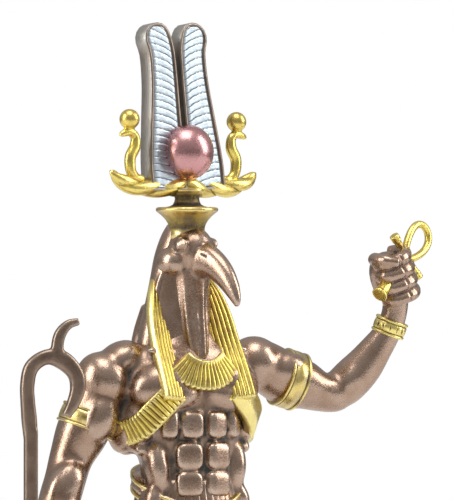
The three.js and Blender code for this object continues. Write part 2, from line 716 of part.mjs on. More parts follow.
// One horn, a rope of two lobes twisted along a curve that rises to its tip.
function horn(side) {
  const { reach, z, rise, radius, y, twist, lobes, steps } = HORNS;
  const stations = HORN_RINGS.map(([out, up, size]) => {
    return [[side * reach * out, y, z + rise * up], radius * size, radius * size];
  });
  const swell = (t, around) => 1 + lobes * Math.cos(around * Math.PI * 4 + side * t * twist);
  return loft(stations, roundSection(8), steps, [0, 0, 1], swell);
}

// One plume: a thick blade with a rounded top, and slanting barbs on its face.
function plume(side) {
  const { base, foot: low, height, outer, waist, top, gap, thick, y, lean, roll, bevel } = PLUME;
  const shape = new THREE.Shape();
  shape.moveTo(gap, low);
  shape.lineTo(outer, low);
  shape.bezierCurveTo(outer, height * 0.3, waist - 1.6, height * 0.5, waist - 0.4, height * 0.74);
  shape.bezierCurveTo(waist, height * 0.84, top + 0.8, height * 0.86, top + 0.4, height * 0.92);
  shape.bezierCurveTo(top - 1.0, height * 1.02, gap + 4.2, height * 1.02, gap + 2.2, height * 0.93);
  shape.bezierCurveTo(gap + 0.8, height * 0.86, gap, height * 0.8, gap, height * 0.7);
  shape.closePath();
  const depth = thick - 2 * bevel;
  const blade = new THREE.ExtrudeGeometry(shape, {
    depth, bevelEnabled: true, bevelThickness: bevel, bevelSize: bevel, bevelOffset: -bevel,
    bevelSegments: 1, curveSegments: 3,
  });
  blade.translate(0, 0, -depth / 2);
  blade.rotateX(Math.PI / 2);
  const parts = [solid(blade)];
  for (let i = 0; i < BARBS.count; i += 1) {
    const z = height * (BARBS.low + BARBS.span * ((i + 0.7) / (BARBS.count + 0.6)));
    const edge = Math.max(waist, outer - (outer - waist) * (z / height) * 1.25);
    const from = [gap + BARBS.rim, -thick / 2, z - BARBS.rise];
    const to = [edge - BARBS.rim - bevel, -thick / 2, z + BARBS.rise];
    parts.push(capsule(from, to, BARBS.radius, BARBS.radius, 4));
  }
  const matrix = new THREE.Matrix4().makeTranslation(0, y, base)
    .multiply(new THREE.Matrix4().makeRotationY(roll))
    .multiply(new THREE.Matrix4().makeRotationX(-lean))
    .multiply(new THREE.Matrix4().makeScale(side, 1, 1));
  return join(parts).transform(matrix.elements.slice());
}

// A rearing serpent that faces outwards and carries a ball on its head.
function serpent(side) {
  const { x, y, z, ball, ballX, ballZ } = SERPENT;
  const stations = SERPENT_RINGS.map(([out, up, deep, wide]) => [[side * (x + out), y, z + up], deep, wide]);
  return join([
    loft(stations, roundSection(7), 11, [0, 1, 0]),
    ellipsoid([side * ballX, y, ballZ], [ball, ball, ball], [0, 0, 0], 8, 6),
  ]);
}

function crown() {
  const parts = [cap(), horn(-1), horn(1), plume(-1), plume(1), serpent(-1), serpent(1)];
  parts.push(ellipsoid([SUN.x, SUN.y, SUN.z], SUN.size, [0, 0, 0], 14, 9));
  return turnHead(join(parts));
}

// The fan of the collar between the lappets, a ridged strip bent over the chest.
function collar() {
  const { y, z, inner, outer, spread, rays, thick, valley, notch, upright, bend } = COLLAR;
  const steps = rays * 2;
  const middle = (inner + outer) / 2;
  const geometry = new THREE.CylinderGeometry(1, 1, 1, 4, steps);
  const position = geometry.getAttribute("position");
  for (let i = 0; i < position.count; i += 1) {
    const step = Math.round((position.getY(i) + 0.5) * steps);
    const angle = spread * (-1 + (2 * step) / steps);
    const ridge = step % 2 === 1 ? 1 : valley;
    const reach = middle - inner + (ridge - 1) * notch;
    const [a, b] = [Math.round(position.getX(i)), Math.round(position.getZ(i))];
    const radius = middle + Math.sign(a + b) * reach;
    const x = Math.sin(angle) * radius;
    const rise = Math.sign(a - b) * thick * ridge - bend * x * x;
    position.setXYZ(i, x, -Math.cos(angle) * radius, rise);
  }
  return solid(geometry).rotate([upright, 0, 0]).translate([0, y, z]);
}

// A chest strap from the lappet's end, round under the arm to the back.
function strap(side) {
  const stations = STRAP_PATH.map(([x, y, z]) => [[side * x, y, z], STRAP.wide, STRAP.proud]);
  const steps = STRAP.ribs * 2;
  const swell = (t) => (Math.round(t * steps) % 2 === 0 ? 1 : STRAP.valley);
  const [x, y, z] = STRAP.across;
  return loft(stations, SQUARE, steps, [side * x, y, z], swell);
}

// All of the casting, with a channel left through the right fist for the rod.
function figure() {
  const radius = SCEPTRE.half * Math.SQRT2 + CHANNEL.gap;
  const [low, high] = [CHANNEL.from, CHANNEL.to].map((z) => [SCEPTRE.x, SCEPTRE.y, z]);
  return join([
    torso(), shoulders(), arm(RIGHT_ARM), arm(LEFT_UPPER_ARM), arm(LEFT_FOREARM),
    fist(LEFT_FIST), fist(RIGHT_FIST), ankh(), ...LEGS.map(leg), kilt(), head(), wig(), crown(),
    collar(), strap(-1), strap(1), ...BANDS.map(band),
  ]).subtract(capsule(low, high, radius, radius, CHANNEL.sides));
}

// The rod with its forked foot and hooked head, in one solid.
function sceptre() {
  const { x, y, half, top, turn, sides, power } = SCEPTRE;
  const fork = FLOOR + FORK.high;
  const parts = [straightLoft([[[0, 0, fork], half, half], [[0, 0, top], half, half]], SQUARE)];
  for (const side of [-1, 1]) {
    parts.push(straightLoft([
      [[side * FORK.spread, 0, FLOOR], FORK.tine, half],
      [[side * FORK.tine, 0, fork + FORK.tine / 2], FORK.tine, half],
    ], SQUARE));
  }
  for (const rings of [HOOK, CREST]) {
    const stations = rings.map(([out, z, wide, thick]) => [[out, 0, z], wide, half * thick]);
    parts.push(loft(stations, roundSection(sides, power), rings === HOOK ? 16 : 6, [1, 0, 0.001]));
  }
  return join(parts).rotate([0, 0, THREE.MathUtils.radToDeg(turn)]).translate([x, y, 0]);
}

function plinth() {
  const { width, depth, height, edge } = PLINTH;
  const shape = new THREE.Shape();
  shape.moveTo(-width / 2 + edge, -depth / 2 + edge);
  shape.lineTo(width / 2 - edge, -depth / 2 + edge);
  shape.lineTo(width / 2 - edge, depth / 2 - edge);
  shape.lineTo(-width / 2 + edge, depth / 2 - edge);
  shape.closePath();
  return new THREE.ExtrudeGeometry(shape, {
    depth: height - 2 * edge, bevelEnabled: true, bevelThickness: edge, bevelSize: edge, bevelSegments: 2,
  }).translate(0, 0, edge);
}

const statue = new THREE.Group();

function place(name, geometry, material, x) {
  const mesh = new THREE.Mesh(geometry, material);
  mesh.name = name;
  mesh.position.set(x, 0, 0);
  statue.add(mesh);
}

place("plinth", plinth(), colours.base, 0);
place("figure", geometryOf(figure(), SHORTEST_EDGE), colours.bronze, FIGURE_X);
place("was_sceptre", geometryOf(sceptre(), SHORTEST_EDGE / 2), colours.darkBronze, FIGURE_X);

export default statue;
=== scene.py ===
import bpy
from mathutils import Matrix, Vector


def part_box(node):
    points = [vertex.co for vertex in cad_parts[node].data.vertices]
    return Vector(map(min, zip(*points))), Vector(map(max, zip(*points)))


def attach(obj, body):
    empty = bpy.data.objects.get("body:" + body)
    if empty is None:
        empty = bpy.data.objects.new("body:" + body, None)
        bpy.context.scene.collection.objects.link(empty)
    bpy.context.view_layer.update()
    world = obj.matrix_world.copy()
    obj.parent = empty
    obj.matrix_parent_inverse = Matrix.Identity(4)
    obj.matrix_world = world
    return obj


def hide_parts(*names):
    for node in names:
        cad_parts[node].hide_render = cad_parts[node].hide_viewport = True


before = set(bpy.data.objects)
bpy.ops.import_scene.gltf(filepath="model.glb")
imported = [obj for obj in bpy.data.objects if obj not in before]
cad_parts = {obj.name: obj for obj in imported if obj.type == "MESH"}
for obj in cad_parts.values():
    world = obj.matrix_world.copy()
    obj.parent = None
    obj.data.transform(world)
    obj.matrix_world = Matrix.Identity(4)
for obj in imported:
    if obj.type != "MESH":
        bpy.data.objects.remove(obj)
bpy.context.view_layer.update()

import logging
import math
from collections.abc import Callable, Iterable, Sequence
from dataclasses import dataclass, field
from enum import Enum

import bmesh
import bpy
import numpy as np
from mathutils import Euler, Matrix, Vector

LOG = logging.getLogger("statue")

# The figure is drawn in millimetres round its own middle line, which stands to one side of the plinth's
MM = 0.001
FIGURE_X = 10.0
FLOOR = 12.3
HEAD_TURN = math.radians(12)
ARM_ACROSS = (0.86, -0.5, 0.0)
ACROSS_X = (1.0, 0.0, 0.0)

# Place x, y, z, half width and half depth of one ring of a loft
Row = tuple[float, float, float, float, float]
Point = tuple[float, float, float]
Colour = tuple[float, float, float]


class Slot(Enum):
    """Names of the material slots."""

    BRONZE = "bronze"
    STAFF = "staff"
    BASE = "base"
    GOLD = "gold"
    PEWTER = "pewter"
    COPPER = "copper"
    GEM = "gem"


class Side(Enum):
    """The figure's own sides, with the sign of their x."""

    RIGHT = -1
    LEFT = 1


def resample(rows: Sequence[Sequence[float]], steps: int) -> np.ndarray:
    """Draws a smooth curve through rows of numbers and takes it at even distances.

    Args:
        rows: Numbers, of which the first three are a place.
        steps: How many equal steps the curve is cut into.

    Returns:
        An array with a row for each end of a step.
    """
    points = np.array(rows, float)
    ends = np.vstack([2 * points[0] - points[1], points, 2 * points[-1] - points[-2]])
    share = np.linspace(0, 1, 17)[:-1, None]
    pieces = []
    for index in range(1, len(ends) - 2):
        before, start, end, after = ends[index - 1:index + 3]
        bend = 2 * before - 5 * start + 4 * end - after
        twist = 3 * start - before - 3 * end + after
        pieces.append(0.5 * (2 * start + (end - before) * share + bend * share**2 + twist * share**3))
    curve = np.vstack(pieces + [points[-1:]])
    reach = np.concatenate([[0], np.cumsum(np.linalg.norm(np.diff(curve[:, :3], axis=0), axis=1))])
    wanted = np.linspace(0, reach[-1], steps + 1)
    return np.stack([np.interp(wanted, reach, column) for column in curve.T], axis=1)


def round_section(sides: int, power: float = 1.0) -> np.ndarray:
    """Gives a unit section from the front round by the +u side.

    Args:
        sides: Number of corners.
        power: Under 1 squares the section up.

    Returns:
        The corners as rows of u and v.
    """
    angle = np.linspace(0, 2 * math.pi, sides, endpoint=False)
    ease = [np.sign(wave) * np.abs(wave) ** power for wave in (np.sin(angle), np.cos(angle))]
    return np.stack(ease, axis=1)


def turned_about_z(angle: float) -> Matrix:
    """Gives a turn about the upright axis."""
    return Matrix.Rotation(angle, 4, "Z")


class Clay:
    """A bmesh in millimetres that forms are added to."""

    def __init__(self) -> None:
        """Starts with nothing in it."""
        self.bm = bmesh.new()

    def loft(
        self,
        rows: Sequence[Sequence[float]],
        section: np.ndarray,
        across: Point = ACROSS_X,
        steps: int = 0,
        shape: Callable[[float, np.ndarray], np.ndarray] | None = None,
    ) -> None:
        """Draws a closed skin through rings set square to a path.

        Args:
            rows: Place, half width and half depth of each ring.
            section: Unit section that each ring follows.
            across: Direction in which the width lies.
            steps: Steps along a smooth curve through the rows, or 0 to keep the rows, along one straight line.
            shape: Changes the section by the share of the way along.
        """
        path = resample(rows, steps) if steps else np.array(rows, float)
        along = np.gradient(path[:, :3], axis=0) if steps else np.tile(path[-1, :3] - path[0, :3], (len(path), 1))
        along /= np.linalg.norm(along, axis=1)[:, None]
        last = len(path) - 1
        loops = []
        for index, (row, ahead) in enumerate(zip(path, along)):
            wide = np.array(across) - ahead * np.dot(ahead, across)
            wide /= np.linalg.norm(wide)
            front = np.cross(wide, ahead)
            flat = shape(index / last, section) if shape else section
            corners = row[:3] + np.outer(flat[:, 0] * row[3], wide) + np.outer(flat[:, 1] * row[4], front)
            ring = bmesh.ops.create_circle(self.bm, segments=len(section), radius=1)["verts"]
            for vert, corner in zip(ring, corners):
                vert.co = corner
            loops.append(list({edge for vert in ring for edge in vert.link_edges}))
        for lower, upper in zip(loops, loops[1:]):
            bmesh.ops.bridge_loops(self.bm, edges=lower + upper)
        for end in (loops[0], loops[-1]):
            bmesh.ops.edgeloop_fill(self.bm, edges=end)

    def ball(
        self, at: Sequence[float], size: Sequence[float], turn: Sequence[float] = (0, 0, 0), power: float = 1.0,
        fine: int = 24,
    ) -> None:
        """Adds an ellipsoid, or with a power under 1 a pad with squarer sides.

        Args:
            at: Middle.
            size: Half sizes.
            turn: Angles about x, y and z.
            power: Under 1 squares the form up.
            fine: Segments round it.
        """
        made = bmesh.ops.create_uvsphere(self.bm, u_segments=fine, v_segments=fine // 2, radius=1)["verts"]
        matrix = Matrix.Translation(at) @ Euler(turn, "ZYX").to_matrix().to_4x4() @ Matrix.Diagonal((*size, 1))
        for vert in made:
            if power != 1:
                vert.co = [math.copysign(abs(value) ** power, value) for value in vert.co]
            vert.co = matrix @ vert.co

    def rod(self, start: Sequence[float], end: Sequence[float], radii: tuple[float, float], sides: int = 20) -> None:
        """Adds a round rod between two points.

        Args:
            start: Middle of one end.
            end: Middle of the other end.
            radii: Radius at the start and at the end.
            sides: Sides of the rod.
        """
        reach = Vector(end) - Vector(start)
        matrix = Matrix.Translation((Vector(start) + Vector(end)) / 2)
        matrix @= reach.to_track_quat("Z", "Y").to_matrix().to_4x4()
        bmesh.ops.create_cone(
            self.bm, cap_ends=True, segments=sides, radius1=radii[0], radius2=radii[1], depth=reach.length,
            matrix=matrix)

    def turned(self, profile: Sequence[tuple[float, float]], sides: int = 64) -> None:
        """Spins a profile of radius and height about the upright axis.

        Args:
            profile: Radius and height of each point, from axis to axis.
            sides: Steps of the spin.
        """
        verts = [self.bm.verts.new((radius, 0, height)) for radius, height in profile]
        edges = [self.bm.edges.new(pair) for pair in zip(verts, verts[1:])]
        bmesh.ops.spin(
            self.bm, geom=verts + edges, cent=(0, 0, 0), axis=(0, 0, 1), angle=2 * math.pi, steps=sides,
            use_merge=True)
        bmesh.ops.remove_doubles(self.bm, verts=self.bm.verts, dist=1e-4)

    def move(self, matrix: Matrix) -> "Clay":
        """Turns and shifts all that has been made so far.

        Args:
            matrix: The change of place.

        Returns:
            The clay itself.
        """
        bmesh.ops.transform(self.bm, matrix=matrix, verts=self.bm.verts)
        return self

    def mesh(self, name: str) -> bpy.types.Mesh:
        """Ends the work on the forms.

        Args:
            name: Name of the mesh.

        Returns:
            A mesh in millimetres with its faces pointing outwards.
        """
        bmesh.ops.recalc_face_normals(self.bm, faces=self.bm.faces)
        mesh = bpy.data.meshes.new(name)
        self.bm.to_mesh(mesh)
        self.bm.free()
        return mesh

    def fused(self, name: str, voxel: float) -> bpy.types.Mesh:
        """Melts all the forms into one even skin.

        Args:
            name: Name of the mesh.
            voxel: Size of the skin's cells.

        Returns:
            The mesh of the skin, in millimetres.
        """
        holder = bpy.data.objects.new(name, self.mesh(name))
        bpy.context.scene.collection.objects.link(holder)
        remesh = holder.modifiers.new("remesh", "REMESH")
        remesh.mode = "VOXEL"
        remesh.voxel_size = voxel
        ready = holder.evaluated_get(bpy.context.evaluated_depsgraph_get())
        mesh = bpy.data.meshes.new_from_object(ready)
        bpy.data.objects.remove(holder)
        return mesh


class Skin:
    """The points of a mesh, worked as a carver would: smoothed, grooved and raised."""

    def __init__(self, mesh: bpy.types.Mesh) -> None:
        """Reads the points and edges of a mesh.

        Args:
            mesh: The mesh, in millimetres.
        """
        self.mesh = mesh
        self.points = np.empty(len(mesh.vertices) * 3)
        mesh.vertices.foreach_get("co", self.points)
        self.points = self.points.reshape(-1, 3)
        self.edges = np.empty(len(mesh.edges) * 2, np.int64)
        mesh.edges.foreach_get("vertices", self.edges)
        self.edges = self.edges.reshape(-1, 2)
        self.degree = np.maximum(np.bincount(self.edges.ravel(), minlength=len(self.points)), 1)

    def around(self, values: np.ndarray) -> np.ndarray:
        """Gives the mean of each point's neighbours.

        Args:
            values: One row for each point.

        Returns:
            The means, in the same form.
        """
        rows = values.reshape(len(self.points), -1)
        first, second = self.edges.T
        total = [
            np.bincount(first, row[second], len(rows)) + np.bincount(second, row[first], len(rows)) for row in rows.T
        ]
        return (np.stack(total, axis=1) / self.degree[:, None]).reshape(values.shape)

    def smooth(self, rounds: int, share: float = 0.6) -> "Skin":
        """Evens the skin out.

        Args:
            rounds: How many times.
            share: How far each point goes to the mean of its neighbours.

        Returns:
            The skin itself.
        """
        for _ in range(rounds):
            self.points += (self.around(self.points) - self.points) * share
        return self

    def normals(self) -> np.ndarray:
        """Gives the outward direction at each point."""
        self.mesh.vertices.foreach_set("co", self.points.ravel())
        self.mesh.update()
        found = np.empty(self.points.size)
        self.mesh.vertices.foreach_get("normal", found)
        return found.reshape(-1, 3)

    def near(self, path: Sequence[Sequence[float]], width: float) -> np.ndarray:
        """Gives each point's share of a stroke: 1 on its path and 0 from its width on.

        Args:
            path: Points that the stroke goes through.
            width: Half width of the stroke.

        Returns:
            The shares.
        """
        route = np.array(path, float)
        if len(route) > 2:
            route = resample(path, 4 * len(path))
        best = np.full(len(self.points), np.inf)
        inside = np.all((self.points > route.min(0) - width) & (self.points < route.max(0) + width), axis=1)
        close = self.points[inside]
        nearest = np.full(len(close), np.inf)
        for start, end in zip(route, route[1:]):
            step = end - start
            t = np.clip((close - start) @ step / max(step @ step, 1e-9), 0, 1)
            nearest = np.minimum(nearest, np.linalg.norm(close - start - t[:, None] * step, axis=1))
        best[inside] = nearest
        return np.clip(1 - (best / width) ** 2, 0, 1) ** 2

    def stroke(self, path: Sequence[Sequence[float]], width: float, height: float) -> "Skin":
        """Raises a ridge along a path, or cuts a groove with a height under 0.

        Args:
            path: Points that the stroke goes through, on or near the skin.
            width: Half width of the stroke.
            height: How far the middle of the stroke rises.

        Returns:
            The skin itself.
        """
        self.points += self.normals() * (self.near(path, width) * height)[:, None]
        return self

    def relief(self, rounds: int, scale: float) -> np.ndarray:
        """Measures how far each point lies under the skin evened out round it.

        Args:
            rounds: How wide the evening goes.
            scale: Depth in millimetres that counts as 1.

        Returns:
            Over 0 in hollows, under 0 on ridges.
        """
        even = self.points.copy()
        for _ in range(rounds):
            even = self.around(even)
        return np.sum((even - self.points) * self.normals(), axis=1) / scale

    def write(self, **values: np.ndarray) -> bpy.types.Mesh:
        """Keeps numbers on the points for the materials and ends the carving.

        Args:
            values: One array for each attribute's name.

        Returns:
            The mesh.
        """
        self.mesh.vertices.foreach_set("co", self.points.ravel())
        for name, numbers in values.items():
            layer = self.mesh.attributes.new(name, "FLOAT", "POINT")
            layer.data.foreach_set("value", np.clip(numbers, 0, 1).astype(np.float32))
        return self.mesh


class Board:
    """A node tree that nodes are added to."""

    def __init__(self, tree: bpy.types.NodeTree) -> None:
        """Empties the tree.

        Args:
            tree: The tree to work on.
        """
        self.tree = tree
        tree.nodes.clear()

    def node(self, kind: str, settings: dict | None = None, inputs: dict | None = None) -> bpy.types.Node:
        """Adds a node.

        Args:
            kind: Blender's name for the kind of node.
            settings: Values of the node's own properties.
            inputs: Values for its sockets, or other nodes' outputs to join to them.

        Returns:
            The node.
        """
        made = self.tree.nodes.new(kind)
        for name, value in (settings or {}).items():
            setattr(made, name, value)
        for name, value in (inputs or {}).items():
            if isinstance(value, bpy.types.NodeSocket):
                self.tree.links.new(value, made.inputs[name])
            else:
                made.inputs[name].default_value = value
        return made

    def attribute(self, name: str) -> bpy.types.NodeSocket:
        """Reads a number kept on the points."""
        return self.node("ShaderNodeAttribute", {"attribute_name": name}).outputs["Fac"]

    def noise(self, scale: float, detail: float = 3.0, stretch: Point = (1, 1, 1)) -> bpy.types.NodeSocket:
        """Gives a soft noise fixed to the object.

        Args:
            scale: Repeats for each metre.
            detail: Levels of finer noise.
            stretch: Scale along each axis.

        Returns:
            The noise, from 0 to 1.
        """
        place = self.node("ShaderNodeTexCoord").outputs["Object"]
        held = self.node("ShaderNodeMapping", {}, {"Vector": place, "Scale": stretch}).outputs["Vector"]
        values = {"Vector": held, "Scale": scale, "Detail": detail}
        return self.node("ShaderNodeTexNoise", {}, values).outputs["Fac"]

    def spread(self, value: bpy.types.NodeSocket, low: float, high: float, out: tuple[float, float] = (0, 1)):
        """Stretches a range of numbers.

        Args:
            value: The numbers.
            low: What becomes the first of out.
            high: What becomes the second of out.
            out: The new range.

        Returns:
            The stretched numbers, held inside the new range.
        """
        values = {"Value": value, "From Min": low, "From Max": high, "To Min": out[0], "To Max": out[1]}
        return self.node("ShaderNodeMapRange", {}, values).outputs["Result"]

    def maths(self, operation: str, first, second) -> bpy.types.NodeSocket:
        """Works out one number from two.

        Args:
            operation: Blender's name for the sum.
            first: A number or a socket.
            second: A number or a socket.

        Returns:
            The result, held from 0 to 1.
        """
        made = self.node("ShaderNodeMath", {"operation": operation, "use_clamp": True}, {0: first, 1: second})
        return made.outputs[0]

    def mix(self, share, first, second) -> bpy.types.NodeSocket:
        """Mixes two colours.

        Args:
            share: How much of the second, as a number or a socket.
            first: A colour or a socket.
            second: A colour or a socket.

        Returns:
            The mixed colour.
        """
        made = self.node("ShaderNodeMix", {"data_type": "RGBA"})
        colour = {6: first, 7: second}
        for index, value in {0: share, **colour}.items():
            if isinstance(value, bpy.types.NodeSocket):
                self.tree.links.new(value, made.inputs[index])
            else:
                made.inputs[index].default_value = (*value, 1) if index in colour else value
        return made.outputs[2]


@dataclass(frozen=True)
class MetalFinish:
    """Metal paint over cast resin: two tones, a dark wash together with painted shade in the hollows, and lighter
    rubbed ridges.
    """

    name: str
    tone: Colour
    second: Colour
    wash_and_shade: Colour
    rubbed: Colour
    roughness: float = 0.3
    patch: float = 140.0
    patch_from: float = 0.4
    patch_to: float = 0.6
    wash_and_shade_from: float = 0.1
    wash_and_shade_to: float = 0.9
    wash_and_shade_metal: float = 0.35
    grain: float = 0.00012

    def material(self) -> bpy.types.Material:
        """Makes the material."""
        made = bpy.data.materials.new(self.name)
        made.use_nodes = True
        board = Board(made.node_tree)
        patch = board.spread(board.noise(self.patch, 4), self.patch_from, self.patch_to)
        fine = board.noise(self.patch * 9, 3)
        ridge = board.attribute("ridge")
        # Hollows are darkened towards the third colour: the real dark wash in the grooves and painted shade in the
        # deeper recesses.
        hollow = board.maths("MULTIPLY", board.attribute("hollow"), board.spread(fine, 0.2, 0.6, (0.75, 1.15)))
        wash_and_shade_share = board.spread(hollow, self.wash_and_shade_from, self.wash_and_shade_to)
        colour = board.mix(patch, self.tone, self.second)
        colour = board.mix(board.maths("MULTIPLY", ridge, 0.55), colour, self.rubbed)
        colour = board.mix(wash_and_shade_share, colour, self.wash_and_shade)
        rough = board.spread(fine, 0.3, 0.75, (self.roughness * 0.85, self.roughness * 1.25))
        rough = board.maths("ADD", rough, board.maths("MULTIPLY", wash_and_shade_share, 0.35))
        metal = board.spread(wash_and_shade_share, 0, 1, (1, self.wash_and_shade_metal))
        bump = board.node("ShaderNodeBump", {}, {
            "Strength": 0.5, "Distance": self.grain, "Height": board.noise(1500, 2)})
        shader = board.node("ShaderNodeBsdfPrincipled", {}, {
            "Base Color": colour, "Metallic": metal, "Roughness": rough, "Normal": bump.outputs["Normal"]})
        board.node("ShaderNodeOutputMaterial", {}, {"Surface": shader.outputs["BSDF"]})
        return made


@dataclass(frozen=True)
class EnamelFinish:
    """A clear gloss enamel of one colour."""

    name: str
    colour: Colour
    roughness: float = 0.12
    coat: float = 0.6

    def material(self) -> bpy.types.Material:
        """Makes the material."""
        made = bpy.data.materials.new(self.name)
        made.use_nodes = True
        board = Board(made.node_tree)
        deep = tuple(value * 0.45 for value in self.colour)
        colour = board.mix(board.spread(board.noise(500, 2), 0.35, 0.65), self.colour, deep)
        shader = board.node("ShaderNodeBsdfPrincipled", {}, {
            "Base Color": colour, "Roughness": self.roughness, "Coat Weight": self.coat})
        board.node("ShaderNodeOutputMaterial", {}, {"Surface": shader.outputs["BSDF"]})
        return made


# The third colour of each finish is the dark wash and the painted shade laid into its hollows.
BRONZE = MetalFinish(
    "bronze", (0.40, 0.275, 0.205), (0.33, 0.215, 0.15), (0.035, 0.036, 0.03), (0.62, 0.50, 0.40), roughness=0.27)
DARK_BRONZE = MetalFinish(
    "staff_bronze", (0.27, 0.19, 0.14), (0.20, 0.135, 0.10), (0.02, 0.018, 0.015), (0.46, 0.37, 0.29),
    roughness=0.34)
BASE_BRONZE = MetalFinish(
    "base_bronze", (0.20, 0.14, 0.10), (0.14, 0.095, 0.065), (0.015, 0.013, 0.011), (0.42, 0.32, 0.24),
    roughness=0.4)
GOLD = MetalFinish(
    "gold_over_bronze", (0.78, 0.60, 0.12), (0.52, 0.36, 0.09), (0.045, 0.026, 0.008), (0.95, 0.85, 0.42),
    roughness=0.3, patch=260, patch_from=0.42, patch_to=0.7, wash_and_shade_metal=0.5)
RUBBED_GOLD = MetalFinish(
    "rubbed_gold", (0.66, 0.48, 0.12), (0.34, 0.23, 0.13), (0.03, 0.02, 0.01), (0.9, 0.76, 0.36),
    roughness=0.3, patch=180, patch_from=0.42, patch_to=0.62)
PEWTER = MetalFinish(
    "pewter", (0.44, 0.50, 0.54), (0.36, 0.41, 0.45), (0.035, 0.05, 0.065), (0.66, 0.71, 0.74),
    roughness=0.42, patch=500, wash_and_shade_metal=0.2)
PLUME_SIDE = MetalFinish(
    "plume_side", (0.22, 0.165, 0.125), (0.16, 0.125, 0.10), (0.03, 0.028, 0.026), (0.62, 0.62, 0.58),
    roughness=0.38)
COPPER = MetalFinish(
    "red_copper", (0.46, 0.17, 0.17), (0.40, 0.15, 0.14), (0.05, 0.02, 0.02), (0.70, 0.42, 0.42),
    roughness=0.27, patch=60)
RUBY = EnamelFinish("ruby_enamel", (0.62, 0.02, 0.06))


@dataclass
class Maker:
    """Turns meshes in the figure's millimetres into pieces that ride on the frame."""

    materials: dict[str, bpy.types.Material] = field(default_factory=dict)

    def material(self, finish: MetalFinish | EnamelFinish) -> bpy.types.Material:
        """Makes a finish once and hands out the same material after that."""
        if finish.name not in self.materials:
            self.materials[finish.name] = finish.material()
        return self.materials[finish.name]

    def piece(
        self,
        name: str,
        mesh: bpy.types.Mesh,
        finish: MetalFinish | EnamelFinish,
        replaces: Iterable[str] = (),
        local: bool = True,
    ) -> bpy.types.Object:
        """Places a mesh in the frame as a finished piece.

        Args:
            name: Name of the piece.
            mesh: Its mesh, in millimetres.
            finish: What it is painted with.
            replaces: CAD nodes that it stands for.
            local: Whether the mesh is drawn round the figure's middle line.

        Returns:
            The piece's object.
        """
        shift = FIGURE_X if local else 0.0
        mesh.transform(Matrix.Diagonal((MM, MM, MM, 1)) @ Matrix.Translation((shift, 0, 0)))
        for polygon in mesh.polygons:
            polygon.use_smooth = True
        mesh.name = name
        mesh.materials.clear()
        mesh.materials.append(self.material(finish))
        made = bpy.data.objects.new(name, mesh)
        bpy.context.scene.collection.objects.link(made)
        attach(made, "root")
        if replaces:
            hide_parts(*replaces)
        LOG.info("%s: %d faces", name, len(mesh.polygons))
        return made

    def carved(self, mesh: bpy.types.Mesh, rounds: int = 3, depth: float = 0.12) -> bpy.types.Mesh:
        """Marks the hollows and ridges of a mesh for its paint, the hollows for the dark wash and painted shade.

        Args:
            mesh: The mesh, in millimetres.
            rounds: How wide the hollows are, in edges.
            depth: Depth of a hollow that is fully darkened by wash and painted shade.

        Returns:
            The same mesh.
        """
        skin = Skin(mesh)
        fine = skin.relief(rounds, depth)
        return skin.write(hollow=fine, ridge=-fine)


